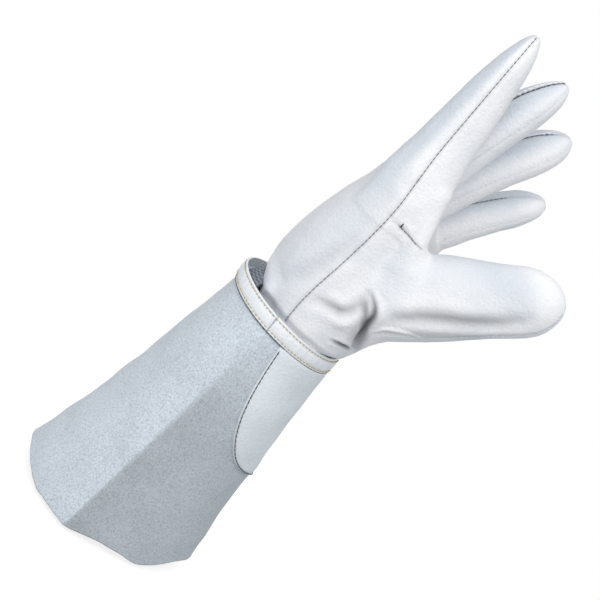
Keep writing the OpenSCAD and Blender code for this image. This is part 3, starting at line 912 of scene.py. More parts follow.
# Per finger, the section angle where each panel ends, going round from the middle of the palm side.
PANELS = (
    ((92, "palm"), (232, "back"), (302, "inner_forchette"), (360, "palm")),
    ((58, "palm"), (140, "index_forchette"), (232, "back"), (302, "ring_forchette"), (360, "palm")),
    ((58, "palm"), (140, "middle_forchette"), (232, "back"), (302, "little_forchette"), (360, "palm")),
    ((58, "palm"), (134, "inner_forchette"), (268, "back"), (360, "palm")),
)


@dataclass
class Seam:
    """A sewn seam on the skin: its path, the solid it replaces and the digit it is on, -1 for the hand."""

    name: str
    path: np.ndarray
    replaces: str | None
    digit: int
    dark: bool = True
    groove: float = 0.5
    shown: tuple = WHOLE
    radius: float = 0.19
    width: float = 0.85


@dataclass
class HandSkin:
    """The grain leather of hand and digits: one flowing form, cut into its sewn panels."""

    shop: Workshop
    cuff: CuffForm
    step: float = 1.25
    fingers: list = field(default_factory=lambda: [
        FingerForm(0, 96, 0, -3.5, 19.0, 11.6, 12.3, 0.42),
        FingerForm(1, 92, 17, -1.0, 18.5, 11.6, 12.3, 0.62),
        FingerForm(2, 85, 28, 3.0, 17.5, 12.0, 12.2, 0.70),
        FingerForm(3, 66, 36, 8.0, 14.5, 10.6, 11.6, 0.66),
    ])
    thumb: ThumbForm = field(default_factory=ThumbForm)

    def __post_init__(self) -> None:
        """Makes the forms that the skin joins."""
        self.palm = PalmForm(self.cuff)
        self.tubes = [f.tube() for f in self.fingers]
        self.thumb_tube = self.thumb.tube()

    def field(self, p: np.ndarray) -> np.ndarray:
        """Field of the whole hand, negative inside."""
        palm = np.full(len(p), FAR)
        low = p[:, 2] < 272
        palm[low] = self.palm.field(p[low])
        thumb = self.thumb_tube.local(p)[0] + 3.2 * ease((self.cuff.band_z(p[:, 0]) + 15 - p[:, 2]) / 5)
        base = smooth_union(smooth_union(palm, thumb, 7.0), self.web(p), 9.0)
        return np.min([smooth_union(base, t.local(p)[0], 4.0) for t in self.tubes], axis=0)

    @staticmethod
    def web(p: np.ndarray) -> np.ndarray:
        """Field of the leather stretched between the index finger's root and the thumb."""
        line = np.array([(30.6, -40.0, 264.0), (37.0, -40.0, 239.0), (41.0, -36.5, 226.0)])
        reach = (6.2, 6.6, 8.6)
        out = np.full(len(p), FAR)
        for k in range(2):
            a, b = line[k], line[k + 1]
            t = np.clip((p - a) @ (b - a) / np.sum((b - a) ** 2), 0, 1)
            dist = np.linalg.norm(p - a - t[:, None] * (b - a), axis=1)
            out = np.minimum(out, dist - mix(reach[k], reach[k + 1], t))
        return out

    def slope(self, p: np.ndarray) -> tuple[np.ndarray, np.ndarray]:
        """Field and its gradient at points p."""
        f, e = self.field(p), 0.05
        return f, np.stack([(self.field(p + shift) - f) / e for shift in e * np.eye(3)], 1)

    def settle(self, p: np.ndarray, rounds: int = 3) -> tuple[np.ndarray, np.ndarray]:
        """Moves points onto the skin's form.

        Args:
            p: points near it.
            rounds: how many steps to take, each of 1 mm at most.

        Returns:
            The moved points and the outward directions there.
        """
        p = p.copy()
        for _ in range(rounds):
            f, g = self.slope(p)
            move = -g * (f / np.maximum(np.einsum("ij,ij->i", g, g), 0.05))[:, None]
            p += move * np.minimum(1, 1.0 / np.maximum(np.linalg.norm(move, axis=1), 1e-9))[:, None]
        return p, unit(self.slope(p)[1])

    def grid_mesh(self) -> tuple[np.ndarray, np.ndarray]:
        """Meshes the form on an even grid and evens the mesh out."""
        lo, hi = np.array([-24.0, -60.0, 150.0]), np.array([126.0, 62.0, 363.0])
        n = ((hi - lo) / self.step).astype(int) + 1
        axes = [lo[k] + self.step * np.arange(n[k]) for k in range(3)]
        p = np.stack(np.meshgrid(*axes, indexing="ij"), -1).reshape(-1, 3)
        values = np.clip(self.field(p), -20, 20).reshape(n).astype(np.float32)
        points, quads = surface_nets(values, lo, self.step)
        points, _ = self.settle(points.astype(float), 2)
        for _ in range(3):
            points = mix(points, self.average(points, quads), 0.5)
        points, _ = self.settle(points, 1)
        keep = points[:, 2] > self.cuff.band_z(points[:, 0]) + 1.0
        used, quads = np.unique(quads[np.all(keep[quads], axis=1)], return_inverse=True)
        return points[used], quads.reshape(-1, 4)

    @staticmethod
    def average(points: np.ndarray, quads: np.ndarray) -> np.ndarray:
        """Mean of each vertex's neighbours along the mesh's edges."""
        total, count = np.zeros_like(points), np.zeros(len(points))
        for k in range(4):
            a, b = quads[:, k], quads[:, (k + 1) % 4]
            for i, j in ((a, b), (b, a)):
                for c in range(3):
                    total[:, c] += np.bincount(i, points[j, c], len(points))
                count += np.bincount(i, minlength=len(points))
        return total / np.maximum(count, 1)[:, None]

    @staticmethod
    def mesh_normals(points: np.ndarray, quads: np.ndarray) -> np.ndarray:
        """Area-weighted vertex normals."""
        n = np.cross(points[quads[:, 2]] - points[quads[:, 0]], points[quads[:, 3]] - points[quads[:, 1]])
        out = np.zeros_like(points)
        for k in range(4):
            for c in range(3):
                out[:, c] += np.bincount(quads[:, k], n[:, c], len(points))
        return unit(out)

    def digit_path(self, tube: TubeForm, turn: float, first: float, last: float) -> np.ndarray:
        """Points of a digit's seam at one section angle, settled on the skin."""
        return self.settle(resample(tube.point(turn, first, last), 1.0))[0]

    def seam_x(self, y, z) -> np.ndarray:
        """Where the cut between the back and the palm of the hand stands."""
        k = np.linspace(0, 1, 41)
        t = np.interp(z, curve([140, 178, 208, 240, 290], k), k)
        v = (z - 158) / (KNUCKLE_Z - 158)
        return curve([12, 12, 16, 19, 18.5], t) + self.palm.bow(y, np.minimum(1.1, v))

    def thenar_y(self, z) -> np.ndarray:
        """Edge of the thumb side panel in the palm at height z."""
        k = np.linspace(0, 1, 60)
        heights = curve([130, 172, 204, 225, 236.5, 241, 244], k)
        return np.interp(z, heights, curve([7, 4, -2, -8, -17, -36, -90], k))

    def side_seams(self) -> list[Seam]:
        """Returns the seams that run up each side of the hand and on along the outer finger."""
        out = []
        for flip, number, turn, top, name, tail in (
            (-1, 0, 92.0, 250.0, "side_seam", "index_side_seam"),
            (1, 3, 268.0, 226.0, "outer_seam", "little_outer_seam"),
        ):
            finger = self.fingers[number]
            z = np.linspace(160.0, top, 70)
            y = flip * (curve(self.palm.half_w, (z - 158) / 100) + 1)
            hand = self.settle(resample(np.stack([self.seam_x(y, z), y, z], 1), 1.0), 6)[0]
            line = resample(np.concatenate([hand, self.digit_path(self.tubes[number], turn, 6.0, 28.4)]), 1.0)
            for _ in range(60):
                line[1:-1] = mix(line[1:-1], (line[:-2] + line[2:]) / 2, 0.5)
            line = self.settle(resample(line, 1.0), 4)[0]
            cut = int(np.argmax((line - finger.knuckle) @ along(finger.lean / 2) > 1.0))
            out.append(Seam(name, line[: cut + 3], f"{name}_thread", -1))
            out.append(Seam(tail, line[cut:], f"{NAMES[number]}_seam_thread", number))
        return out

    def seams(self) -> list[Seam]:
        """Returns every sewn seam of hand and digits."""
        out = self.side_seams()
        for k, turn, shown, radius in (
            (0, 232, WHOLE, 0.19), (1, 140, WHOLE, 0.28), (1, 232, WHOLE, 0.19),
            (2, 140, (0.62, 0.84), 0.19), (2, 232, WHOLE, 0.19), (3, 134, (0.22, 0.62), 0.19),
        ):
            path = self.digit_path(self.tubes[k], turn, 4.0, 28.0)
            out.append(Seam(f"{NAMES[k]}_back_seam_{turn}", path, f"{NAMES[k]}_seam_thread", k,
                            shown=shown, radius=radius))
        for k, turn in ((0, 302), (1, 58), (1, 302), (2, 58), (2, 302), (3, 58)):
            path = self.digit_path(self.tubes[k], turn, 4.5, 28.0)
            out.append(Seam(f"{NAMES[k]}_palm_seam_{turn}", path, None, k, dark=False, groove=0.22))
        for turn, dark in ((30, False), (236, True)):
            path = self.digit_path(self.thumb_tube, turn, 12.6, 37.2)
            out.append(Seam(f"thumb_seam_{turn}", path, "thumb_seam_thread", THUMB, dark))
        z = np.linspace(170.0, 240.5, 80)
        edge = np.stack([np.full_like(z, 60.0), self.thenar_y(z), z], 1)
        thenar = self.settle(resample(edge[edge[:, 1] > -30], 1.0), 40)[0]
        out.append(Seam("thenar_seam", thenar, None, -1, dark=False, groove=0.7))
        return out + [self.branch()]

    def branch(self) -> Seam:
        """Returns the seam that leaves the side seam for the corner between index finger and thumb."""
        k = np.linspace(0, 1, 30)
        raw = np.stack([mix(18.6, 42.6, k), -49.5 + 5.0 * k**2, mix(241.6, 237.6, k)], 1)
        path = self.settle(resample(raw, 0.8), 8)[0]
        return Seam("branch_seam", path, None, -1, groove=0.35, shown=(0.30, 0.80))

    def displaced(self, points: np.ndarray, seams: list[Seam]) -> tuple[np.ndarray, np.ndarray]:
        """Presses seams and folds into the skin.

        Args:
            points: the plain skin's vertices.
            seams: the sewn seams.

        Returns:
            New vertices, and how dark each is, 0 to 1: dirt along the seams and painted shade in the folds.
        """
        lift = 0.32 * wave_noise(points, 34, 3) + 0.12 * wave_noise(points, 13, 4)
        lift += 0.05 * wave_noise(points, 5.5, 5)
        depth = np.zeros(len(points))
        for seam in seams:
            dist, share = nearest(points, seam.path, 7.0)
            ends = ease(share * 14) * ease((1 - share) * 14) if seam.digit >= 0 else 1.0
            pucker = 1 + 0.35 * np.sin(share * len(seam.path) / 3.1 * 2 * math.pi)
            lift -= seam.groove * bell(dist / seam.width) * np.maximum(ends, 0.5)
            lift += 0.26 * seam.groove * pucker * bell((dist - 2.4) / 1.3)
            depth = np.maximum(depth, bell(dist / 0.9) * (0.20 if seam.dark else 0.06))
        for fold in FOLDS:
            press, painted_shade = fold.press(points)
            lift += press
            # Painted shade in the folds' creases.
            depth = np.maximum(depth, painted_shade)
        return points + self.settle(points, 0)[1] * lift[:, None], depth

    def painted_back_shade(self, p: np.ndarray) -> np.ndarray:
        """How much painted shade each point gets where the skin faces the hand's back, away from the key
        lamp, 0 to 1.
        """
        facing = ease((-self.settle(p, 0)[1][:, 0] + 0.32) / 0.75)
        index = ease((p[:, 2] - 250) / 22) * (p[:, 1] < -20)
        facing = facing * mix(1.0, ease((self.tubes[0].local(p)[1] - 104) / 26), index)
        return facing * mix(0.42, 0.85, ease((p[:, 2] - 225) / 60))

    def labels(self, p: np.ndarray) -> np.ndarray:
        """Digit number of each point: 0 to 3 for the fingers, 4 for the thumb, -1 for the hand."""
        fields = np.stack([t.local(p)[0] for t in self.tubes], 1)
        best = fields.argmin(1)
        out = np.full(len(p), -1)
        for k, finger in enumerate(self.fingers):
            beyond = (p - finger.knuckle) @ along(finger.lean / 2) > 0.4
            out[(best == k) & beyond & (fields[:, k] < 6)] = k
        thumb = self.thumb_tube.local(p)[0]
        beyond = (p - np.array(self.thumb.web)) @ along(self.thumb.lean) > 0.4
        out[beyond & (thumb < fields.min(1)) & (thumb < 6)] = THUMB
        return out

    def panels(self, p: np.ndarray, digit: np.ndarray) -> np.ndarray:
        """Name of the leather panel that each point lies on."""
        out = np.full(len(p), "hand_back", dtype=object)
        front = (digit == -1) & (p[:, 0] > self.seam_x(p[:, 1], p[:, 2]))
        out[front] = "hand_palm"
        low = p[:, 2] < 244
        out[front & low & (p[:, 1] < self.thenar_y(np.minimum(p[:, 2], 243.9)))] = "thumb_side_panel"
        for k, cuts in enumerate(PANELS):
            mine = np.flatnonzero(digit == k)
            turn = self.tubes[k].local(p[mine])[1]
            start = 0
            for end, kind in cuts:
                out[mine[(turn >= start) & (turn < end)]] = f"{NAMES[k]}_{kind}"
                start = end
        mine = np.flatnonzero(digit == THUMB)
        turn = self.thumb_tube.local(p[mine])[1]
        out[mine] = np.where((turn >= 30) & (turn < 236), "thumb_back", "thumb_front")
        return out

    def attach(self, piece: bpy.types.Object, digit: int) -> None:
        """Bakes a piece's placement into its mesh, the same for every digit; the piece is not tied to a digit
        or the hand.
        """
        if digit < 0:
            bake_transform(piece)
            return
        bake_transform(piece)

    def build(self) -> None:
        """Makes the leather panels and the thread of every seam."""
        plain, quads = self.grid_mesh()
        seams = self.seams()
        # Painted shade on the hand's back, set by the way the skin faces.
        back_shade_share = self.painted_back_shade(plain)
        points, depth = self.displaced(plain, seams)
        self.tree = KDTree(len(plain))
        for i, p in enumerate(plain):
            self.tree.insert(p, i)
        self.tree.balance()
        out = np.einsum("ij,ij->i", points - plain, self.mesh_normals(plain, quads))
        self.moved = np.linalg.norm(points - plain, axis=1) * np.sign(out)
        normals = self.mesh_normals(points, quads)
        centre = points[quads].mean(1)
        digit = self.labels(centre)
        panel = self.panels(centre, digit)
        for name in sorted(set(panel)):
            mine = np.flatnonzero(panel == name)
            used, faces = np.unique(quads[mine], return_inverse=True)
            layers = {"dirt_and_painted_shade": depth[used], "painted_back_shade": back_shade_share[used]}
            piece = self.shop.piece(f"skin_{name}", points[used], faces.reshape(-1, 4), Slot.GRAIN,
                                    normals[used], layers)
            self.attach(piece, int(digit[mine[0]]))
            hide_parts(name)
        for seam in seams:
            self.sew(seam)

    def sew(self, seam: Seam) -> None:
        """Lays the thread of one seam in its groove, sunk out of sight where it isn't shown."""
        base, n = self.settle(seam.path, 1)
        run = np.linspace(0, 1, len(base))
        hidden = 1 - ease((run - seam.shown[0]) * 16 + 1) * ease((seam.shown[1] - run) * 16 + 1)
        lift = []
        for p in base:
            near = self.tree.find_n(p, 4)
            weights = [1 / (d + 0.3) for _, _, d in near]
            lift.append(np.average([self.moved[i] for _, i, _ in near], weights=weights))
        path = base + n * (np.array(lift) + 0.1 - 0.8 * hidden)[:, None]
        slot = Slot.DARK if seam.dark else Slot.BAND
        piece = self.shop.sewn(seam.name, path, n, Stitch(2.52, 2.75, seam.radius, 0.16), slot)
        self.attach(piece, seam.digit)
        if seam.replaces:
            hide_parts(seam.replaces)


# ---- cuff and wrist ---------------------------------------------------------------
@dataclass
class Cuff:
    """The split-leather cuff with its closing seam and the smooth patch over the pulse."""

    shop: Workshop
    form: CuffForm
    thickness: float = 1.5
    closing_angle: float = 274.0
    rim_waves: tuple = ((56.0, 24.0, 4.6), (300.0, 24.0, 3.2), (122.0, 26.0, 2.2), (240.0, 24.0, 1.8))
    patch_angle: float = 74.0
    patch_len: float = 0.53

    def wave(self, a: np.ndarray, v: np.ndarray) -> np.ndarray:
        """How far the leather stands off its plain form, at angle a and height v."""
        p = self.form.point(a, v).reshape(-1, 3)
        soft = 0.75 * wave_noise(p, 60, 11) + 0.35 * wave_noise(p, 24, 12) + 0.06 * wave_noise(p, 6, 13)
        return soft.reshape(np.shape(a)) * (1 - ease((v - 0.9) / 0.1)) * 0.9

    def rim(self, edge: np.ndarray, turn: np.ndarray) -> np.ndarray:
        """How far the raw rim is lifted at its points edge, at the angles turn."""
        flat = edge * [1, 1, 0]
        out = 0.9 * wave_noise(flat, 38, 21) + 0.35 * wave_noise(flat, 11, 22)
        for middle, reach, height in self.rim_waves:
            out += height * bell((turn - middle) / reach)
        return np.maximum(out, 0.0)

    def wrap(self) -> None:
        """Makes the flared wrap: two faces of brushed leather with a raw, slightly wavy rim and painted shade
        on its palm half.
        """
        cols, rows = 420, 170
        a, v = np.meshgrid(np.linspace(-90, 270, cols, endpoint=False),
                           np.linspace(0, 1 + 5 / self.form.height, rows))
        off = self.wave(a, v)
        outer, inner = self.form.point(a, v, off), self.form.point(a, v, off - self.thickness)
        rim = self.rim(outer[0], a[0] % 360)
        for face in (outer, inner):
            face[..., 2] += (1 - ease(v / 0.12)) * rim
        edge = mix(outer[0], inner[0], 0.5)
        edge[:, 2] += rim
        for face in (outer, inner):
            face[0, :, 2] += 0.35
        back, lip, top = rows * cols, 2 * rows * cols, (rows - 1) * cols
        faces = grid_faces(rows, cols) + [f[::-1] for f in grid_faces(rows, cols, back)]
        for c in range(cols):
            d = (c + 1) % cols
            faces += [(c, lip + c, lip + d, d), (back + d, lip + d, lip + c, back + c),
                      (top + d, back + top + d, back + top + c, top + c)]
        # Painted shade on the palm half: darkest just past the side folds, lighter towards the palm and the
        # band.
        across = np.cos(np.radians(a))
        palm_shade_share = ease((across + 0.06) / 0.17) * (1 - 0.35 * ease((across - 0.15) / 0.5))
        palm_shade_share = palm_shade_share * (1 - 0.75 * ease((v - 0.55) / 0.4))
        points = np.concatenate([outer.reshape(-1, 3), inner.reshape(-1, 3), edge])
        tone = np.concatenate([palm_shade_share.ravel(), palm_shade_share.ravel(), palm_shade_share[0]])
        piece = self.shop.piece("cuff_wrap_split", points, faces, Slot.SPLIT, layers={"painted_palm_shade": tone})
        on_cuff(piece, "cuff_wrap")
        v = np.linspace(0.03, 0.96, 140)
        a = np.full_like(v, self.closing_angle)
        path = self.form.point(a, v, self.wave(a, v) + 0.15)
        stitch = Stitch(3.0, 3.6, 0.38, 0.3)
        thread = self.shop.sewn("cuff_closing_seam", path, self.form.outward(a, v), stitch)
        on_cuff(thread, "cuff_seam_thread")

    def patch_place(self, u: np.ndarray, w: np.ndarray) -> tuple[np.ndarray, np.ndarray]:
        """Angle and height of the patch's points, u across, w 0 at the band and 1 at the round end."""
        half = np.maximum(1.5, self.patch_angle * (1 - 0.35 * w) * np.sqrt(np.maximum(0, 1 - w**4)))
        return u * half, 1 - self.patch_len * w

    def patch_point(self, u: np.ndarray, w: np.ndarray, off) -> np.ndarray:
        """Points of the patch, off outside the cuff."""
        a, v = self.patch_place(u, w)
        return self.form.point(a, v, self.wave(a, v) + off)

    def patch(self) -> None:
        """Makes the smooth patch with its sewn-down edge."""
        cols, rows = 90, 80
        down = np.sin(np.linspace(0.0, math.pi / 2, rows)) * 0.997 + 0.003
        u, w = np.meshgrid(np.linspace(-1, 1, cols), down)
        edge = np.minimum((1 - np.abs(u)) * 46 * np.maximum(0.15, 1 - w), (1 - w) * 80)
        rise = 0.35 + 1.15 * np.sqrt(ease(edge / 2.2)) - 0.35 * bell((edge - 2.2) / 0.9)
        points = np.concatenate([self.patch_point(u, w, off).reshape(-1, 3) for off in (rise, 0.15)])
        number = np.arange(rows * cols).reshape(rows, cols)
        border = [*number[0], *number[1:, -1], *number[-1, -2::-1], *number[-2:0:-1, 0]]
        back = rows * cols
        faces = [(p, s, r, q) for p, q, r, s in grid_faces(rows, cols, loop_cols=False)]
        faces += grid_faces(rows, cols, back, loop_cols=False)
        faces += [(p, q, back + q, back + p) for p, q in zip(border, border[1:] + border[:1])]
        on_cuff(self.shop.piece("patch_over_pulse", points, faces, Slot.PATCH), "pulse_patch")
        w = np.sin(np.linspace(0, 1, 260) * math.pi / 2) * 0.992
        u = 1 - 1.0 / np.maximum(6, self.patch_place(1.0, w)[0] * 0.85)
        u, w = np.concatenate([-u, u[::-1]]), np.concatenate([w, w[::-1]])
        out = self.form.outward(*self.patch_place(u, w))
        stitch = Stitch(2.95, 3.1, 0.36, 0.2)
        on_cuff(self.shop.sewn("patch_edge", self.patch_point(u, w, 1.42), out, stitch), "pulse_patch_thread")

    def build(self) -> None:
        """Makes wrap, patch and their threads."""
        self.wrap()
        self.patch()


@dataclass
class Wristband:
    """The folded leather band with two sewn rows, and the gathered elastic behind it."""

    shop: Workshop
    form: CuffForm
    lower_row: float = 1.4
    upper_row: float = 8.6

    def profile(self) -> tuple[np.ndarray, np.ndarray]:
        """Heights across the band and how far its face stands out at each."""
        h = np.array([0, 0.15, 0.5, 0.95, 1.4, 1.9, 2.6, 3.6, 5, 6.4, 7.4, 8.1, 8.6, 9.05, 9.5, 9.85, 10])
        puff = 1.15 + 0.45 * np.exp(-((h - 5) / 2.6) ** 4)
        puff -= 0.28 * (bell((h - self.lower_row) / 0.45) + bell((h - self.upper_row) / 0.45))
        return h, np.minimum(puff, 0.45 + 1.2 * np.sqrt(np.minimum(h, 10 - h)))

    def half(self, name: str, first: float, last: float) -> None:
        """Makes one half of the band, from one side seam to the other."""
        h, puff = self.profile()
        a = np.linspace(first + 0.25, last - 0.25, 220)
        pucker = 0.10 * np.sin(np.radians(a) * 47) + 0.18 * wave_noise(self.form.band_point(a, 5, 0), 14, 31)
        ends = 0.55 * (bell((a - first) / 1.1) + bell((last - a) / 1.1))
        under = 0.3
        rows = [self.form.band_point(a, up, under + out * (1 - ends) + pucker * (out > 1))
                for up, out in zip(h, puff)]
        rows += [self.form.band_point(a, up, under) for up in h[::-1]]
        n, cols = len(rows), len(a)
        faces = grid_faces(n, cols, loop_rows=True, loop_cols=False)
        faces += [tuple(r * cols for r in range(n)), tuple(r * cols + cols - 1 for r in range(n - 1, -1, -1))]
        on_cuff(self.shop.piece(f"band_{name}", np.concatenate(rows), faces, Slot.BAND), f"wristband_{name}")

    def row(self, name: str, h: float, off: float, stitch: Stitch, slot: Slot,
            replaced: str | None = None) -> None:
        """Sews one row round the band, h above its lower edge and off outside the cuff."""
        a = np.linspace(0, 359.5, 900)
        path = self.form.band_point(a, h, off)
        out = self.form.band_point(a, h, 2.4) - path
        on_cuff(self.shop.sewn(f"band_{name}", path, out, stitch, slot), replaced)

    def elastic(self) -> None:
        """Makes the gathered elastic inside the pleat at the back of the wrist; its dark grey is partly
        painted shade in the pit.
        """
        a, up = np.linspace(136, 224, 200), np.linspace(0, 1, 16)
        rows = []
        for h, depth in [(h, -3.1) for h in up] + [(h, -4.0) for h in up[::-1]]:
            gather = 0.9 * np.sin(np.radians(a - 180) * 40) * (0.5 + 0.5 * h)
            rows.append(self.form.band_point(a, mix(4.5, 14, h), depth - 5 * h + gather))
        faces = grid_faces(len(rows), len(a), loop_rows=True, loop_cols=False)
        piece = self.shop.piece("gathered_wrist_elastic", np.concatenate(rows), faces, Slot.ELASTIC)
        on_cuff(piece, "wrist_elastic")

    def build(self) -> None:
        """Makes both halves, both rows, the joint half hidden under the lower edge, and the elastic."""
        self.half("palm", -90, 90)
        self.half("back", 90, 270)
        for name, h in (("lower", self.lower_row), ("upper", self.upper_row)):
            self.row(name, h, 1.42, Stitch(1.9, 2.6, 0.30, 0.25), Slot.TAN, f"wristband_{name}_thread")
        self.row("joint", -0.25, 0.95, Stitch(2.9, 3.0, 0.30, 0.10), Slot.DARK)
        self.elastic()


@dataclass
class CrotchWelt:
    """The folded strip sewn into the corner between index finger and thumb."""

    shop: Workshop
    skin: HandSkin
    start: float = 0.30

    def build(self) -> None:
        """Makes the strip as a small flattened fold that stands off the seam, tacked at its start."""
        path, n = self.skin.settle(self.skin.branch().path, 1)
        run = np.linspace(0, 1, len(path))
        keep = run > self.start
        path, n, run = path[keep], n[keep], (run[keep] - self.start) / (1 - self.start)
        t = unit(np.gradient(path, axis=0))
        side = np.cross(t, n)
        side *= np.sign(side[:, 2:3])
        swell = (np.clip(1.08 - 0.95 * run, 0.12, 1) * np.clip(run * 14 + 0.7, 0.7, 1))[:, None, None]
        turn = np.linspace(0, 2 * math.pi, 14, endpoint=False)[:, None]
        wrinkle = 0.12 * np.sin(run * len(path) * 0.8 / 2.2 * 2 * math.pi)[:, None, None]
        ring = path[:, None] + n[:, None] * (0.25 + (0.85 + wrinkle) * swell * np.sin(turn)) \
            + side[:, None] * (1.45 * swell * (1 + np.cos(turn)) + 0.25)
        points = ring.reshape(-1, 3)
        faces = grid_faces(len(path), 14) + end_caps(len(path), 14)
        # Greys the whole strip evenly, a share 0.22 of the way to the leather's dark seam colour.
        piece = self.shop.piece("folded_crotch_welt", points, faces, Slot.GRAIN,
                                layers={"dirt_and_painted_shade": np.full(len(points), 0.22)})
        self.skin.attach(piece, -1)
        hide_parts("crotch_welt")
        for k in range(3):
            start = path[0] + t[0] * (0.35 * k - 0.5) + n[0] * 0.75
            across = start + side[0] * np.linspace(-0.2, 2.7, 12)[:, None]
            stitch = Stitch(2.7, 2.8, 0.26, 0.2)
            tack = self.shop.sewn(f"welt_tack_{k}", across, np.tile(n[0], (12, 1)), stitch)
            self.skin.attach(tack, -1)


@dataclass
class SeamFrill:
    """The trimmed leather edge that stands up along a finger's back seam, puckered by the stitches."""

    shop: Workshop
    skin: HandSkin
    height: float = 1.6
    pucker_mm: float = 3.1
    step: float = 0.35
    profile: tuple = ((-0.6, 0.34), (0.35, 0.34), (0.8, 0.30), (1.0, 0.12),
                      (1.0, -0.12), (0.8, -0.30), (0.35, -0.34), (-0.6, -0.34))

    def build(self) -> None:
        """Makes the edge on the middle and the ring finger."""
        for number, first, last, height in ((1, 0.22, 0.97, self.height), (2, 0.40, 0.90, self.height * 0.6)):
            base, n = self.skin.settle(self.skin.digit_path(self.skin.tubes[number], 144.0, 4.0, 28.0), 1)
            run = np.linspace(0, 1, len(base))
            keep = (run > first) & (run < last)
            base, n, share = resample(base[keep], self.step), n[keep], np.linspace(0, 1, int(keep.sum()))
            k = np.linspace(0, 1, len(base))
            n = read(k, share, n)
            side = np.cross(unit(np.gradient(base, axis=0)), n)
            wave = np.sin(2 * math.pi * k * len(base) * self.step / self.pucker_mm)
            grow = height * np.clip(np.minimum(k, 1 - k) * 9, 0, 1) * (0.75 + 0.25 * wave)
            rows = [base + n * (h * grow)[:, None] + side * (w + 0.28 * wave * max(0.0, h))[:, None]
                    for h, w in self.profile]
            faces = grid_faces(len(base), len(rows)) + end_caps(len(base), len(rows))
            points = np.stack(rows, 1).reshape(-1, 3)
            self.skin.attach(self.shop.piece(f"seam_edge_{NAMES[number]}", points, faces, Slot.GRAIN), number)


# ---- studio -----------------------------------------------------------------------
def glow(tree: bpy.types.NodeTree, kind: str, strength: float,
         colour: tuple = (1, 1, 1, 1)) -> bpy.types.NodeSocket:
    """Adds light of one colour, as an emission or a background, and returns its output."""
    return node(tree, kind, {"Color": colour, "Strength": strength}).outputs[0]


def seen_or(tree: bpy.types.NodeTree, other: bpy.types.NodeSocket,
            seen: bpy.types.NodeSocket) -> bpy.types.NodeSocket:
    """Shows one shader to the camera and in gloss or glass, and the other to every other ray."""
    ways = node(tree, "LightPath").outputs
    both = node(tree, "Math", {"operation": "MAXIMUM"}, {0: ways["Is Camera Ray"], 1: ways["Is Glossy Ray"]})
    share = node(tree, "Math", {"operation": "MAXIMUM"}, {0: both.outputs[0], 1: ways["Is Transmission Ray"]})
    return node(tree, "MixShader", {}, {0: share.outputs[0], 1: other, 2: seen}).outputs[0]


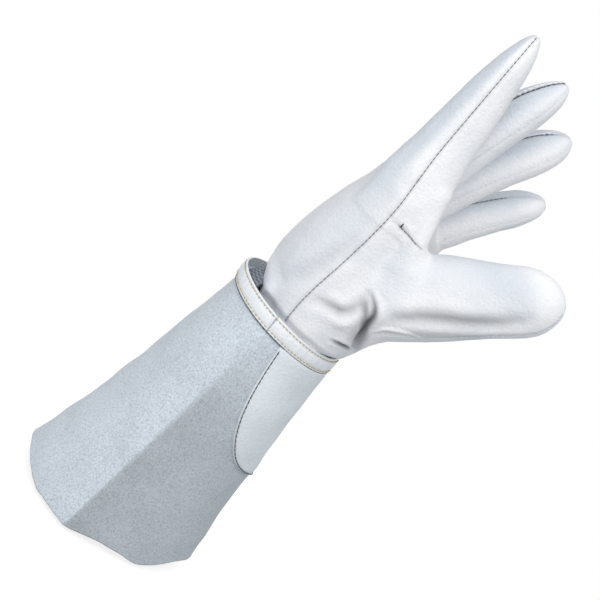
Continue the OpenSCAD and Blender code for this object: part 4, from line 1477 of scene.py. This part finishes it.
@dataclass
class Studio:
    """A pale room: white floor that keeps a shadow, soft lamps and the camera."""

    target: tuple = (11.0, 0.0, 166.0)
    distance: float = 1000.0
    height_deg: float = 12.5
    roll_deg: float = 40.0
    lens: float = 109.09
    lamp_distance: float = 1500.0
    lamp_colour: tuple = (1.0, 0.982, 0.955)
    key_power: float = 13.7
    side_power: float = 5.5
    sky_colour: tuple = (0.96, 0.98, 1.0, 1)
    fill: float = 0.66

    def axes(self) -> tuple[Vector, Vector, Vector]:
        """Right, up and backward directions of the camera."""
        e, r = math.radians(self.height_deg), math.radians(self.roll_deg)
        u = Vector((0, math.sin(e), math.cos(e)))
        x = Vector((1, 0, 0))
        right, up = x * math.cos(r) + u * math.sin(r), -x * math.sin(r) + u * math.cos(r)
        return right, up, Vector((0, -math.cos(e), math.sin(e)))

    def build(self) -> None:
        """Adds camera, floor, lamps and world."""
        self.camera()
        self.floor()
        self.lamps()
        self.world()

    def camera(self) -> None:
        """Adds the camera."""
        data = bpy.data.cameras.new("camera")
        data.lens, data.sensor_width, data.clip_end = self.lens, 36.0, 20.0
        cam = placed("camera", data)
        m = Matrix(self.axes()).transposed().to_4x4()
        m.translation = (Vector(self.target) + self.axes()[2] * self.distance) * MM
        cam.matrix_world = m
        bpy.context.scene.camera = cam

    def floor(self) -> None:
        """Adds the floor under the cuff's rim: a soft shadow near the glove, plain white further off."""
        mesh = bpy.data.meshes.new("floor")
        s, z = 6.0, CAD_BOX[0].z - 0.0004
        mesh.from_pydata([(-s, -s, z), (s, -s, z), (s, s, z), (-s, s, z)], [], [(0, 1, 2, 3)])
        material = bpy.data.materials.new("studio floor, matt white")
        t = blank(material)
        matt = node(t, "BsdfDiffuse", {"Color": linear("#B4B7BB")}).outputs[0]
        dim = node(t, "BsdfDiffuse", {"Color": (0.40, 0.40, 0.40, 1)}).outputs[0]
        shadowed = node(t, "AddShader", {}, {0: glow(t, "Emission", 0.80), 1: dim}).outputs[0]
        place = node(t, "NewGeometry").outputs["Position"]
        far = node(t, "VectorMath", {"operation": "LENGTH"}, {0: place}).outputs["Value"]
        soft = {"interpolation_type": "SMOOTHSTEP", 1: 0.13, 2: 0.34}
        fade = node(t, "MapRange", soft, {0: far}).outputs[0]
        near = node(t, "MixShader", {}, {0: fade, 1: shadowed, 2: glow(t, "Emission", 1.0)}).outputs[0]
        node(t, "OutputMaterial", {}, {"Surface": seen_or(t, matt, near)})
        mesh.materials.append(material)
        placed("floor", mesh)

    def lamps(self) -> None:
        """Adds a broad key lamp over the camera and a weaker one at the side of the hand's back."""
        right, up, back = self.axes()
        for name, way, power, size in (
            ("key", back * 1.0 + up * 0.28 + right * 0.22, self.key_power, 1.3),
            ("side", back * 0.35 + up * 0.45 - right * 0.85, self.side_power, 0.6),
        ):
            data = bpy.data.lights.new(name, "AREA")
            data.energy, data.color, data.size = power, self.lamp_colour, size
            lamp = placed(name, data)
            way = way.normalized()
            lamp.location = (Vector(self.target) + way * self.lamp_distance) * MM
            lamp.rotation_euler = way.to_track_quat("Z", "Y").to_euler()

    def world(self) -> None:
        """Sets an even pale sky, plain white where the camera sees it."""
        world = bpy.data.worlds.new("studio sky")
        bpy.context.scene.world = world
        t = blank(world)
        sky = seen_or(t, glow(t, "Background", self.fill, self.sky_colour), glow(t, "Background", 1.0))
        node(t, "OutputWorld", {}, {"Surface": sky})
        bpy.context.scene.view_settings.view_transform = "Standard"


def main() -> None:
    """Builds the gauntlet over the frame, in order from the rim to the finger tips."""
    shop = Workshop()
    Studio().build()
    form = CuffForm()
    Cuff(shop, form).build()
    LOG.info("wristband")
    Wristband(shop, form).build()
    LOG.info("hand and digits")
    skin = HandSkin(shop, form)
    skin.build()
    LOG.info("crotch welt and seam edges")
    CrotchWelt(shop, skin).build()
    SeamFrill(shop, skin).build()


if __name__ == "__main__":
    main()
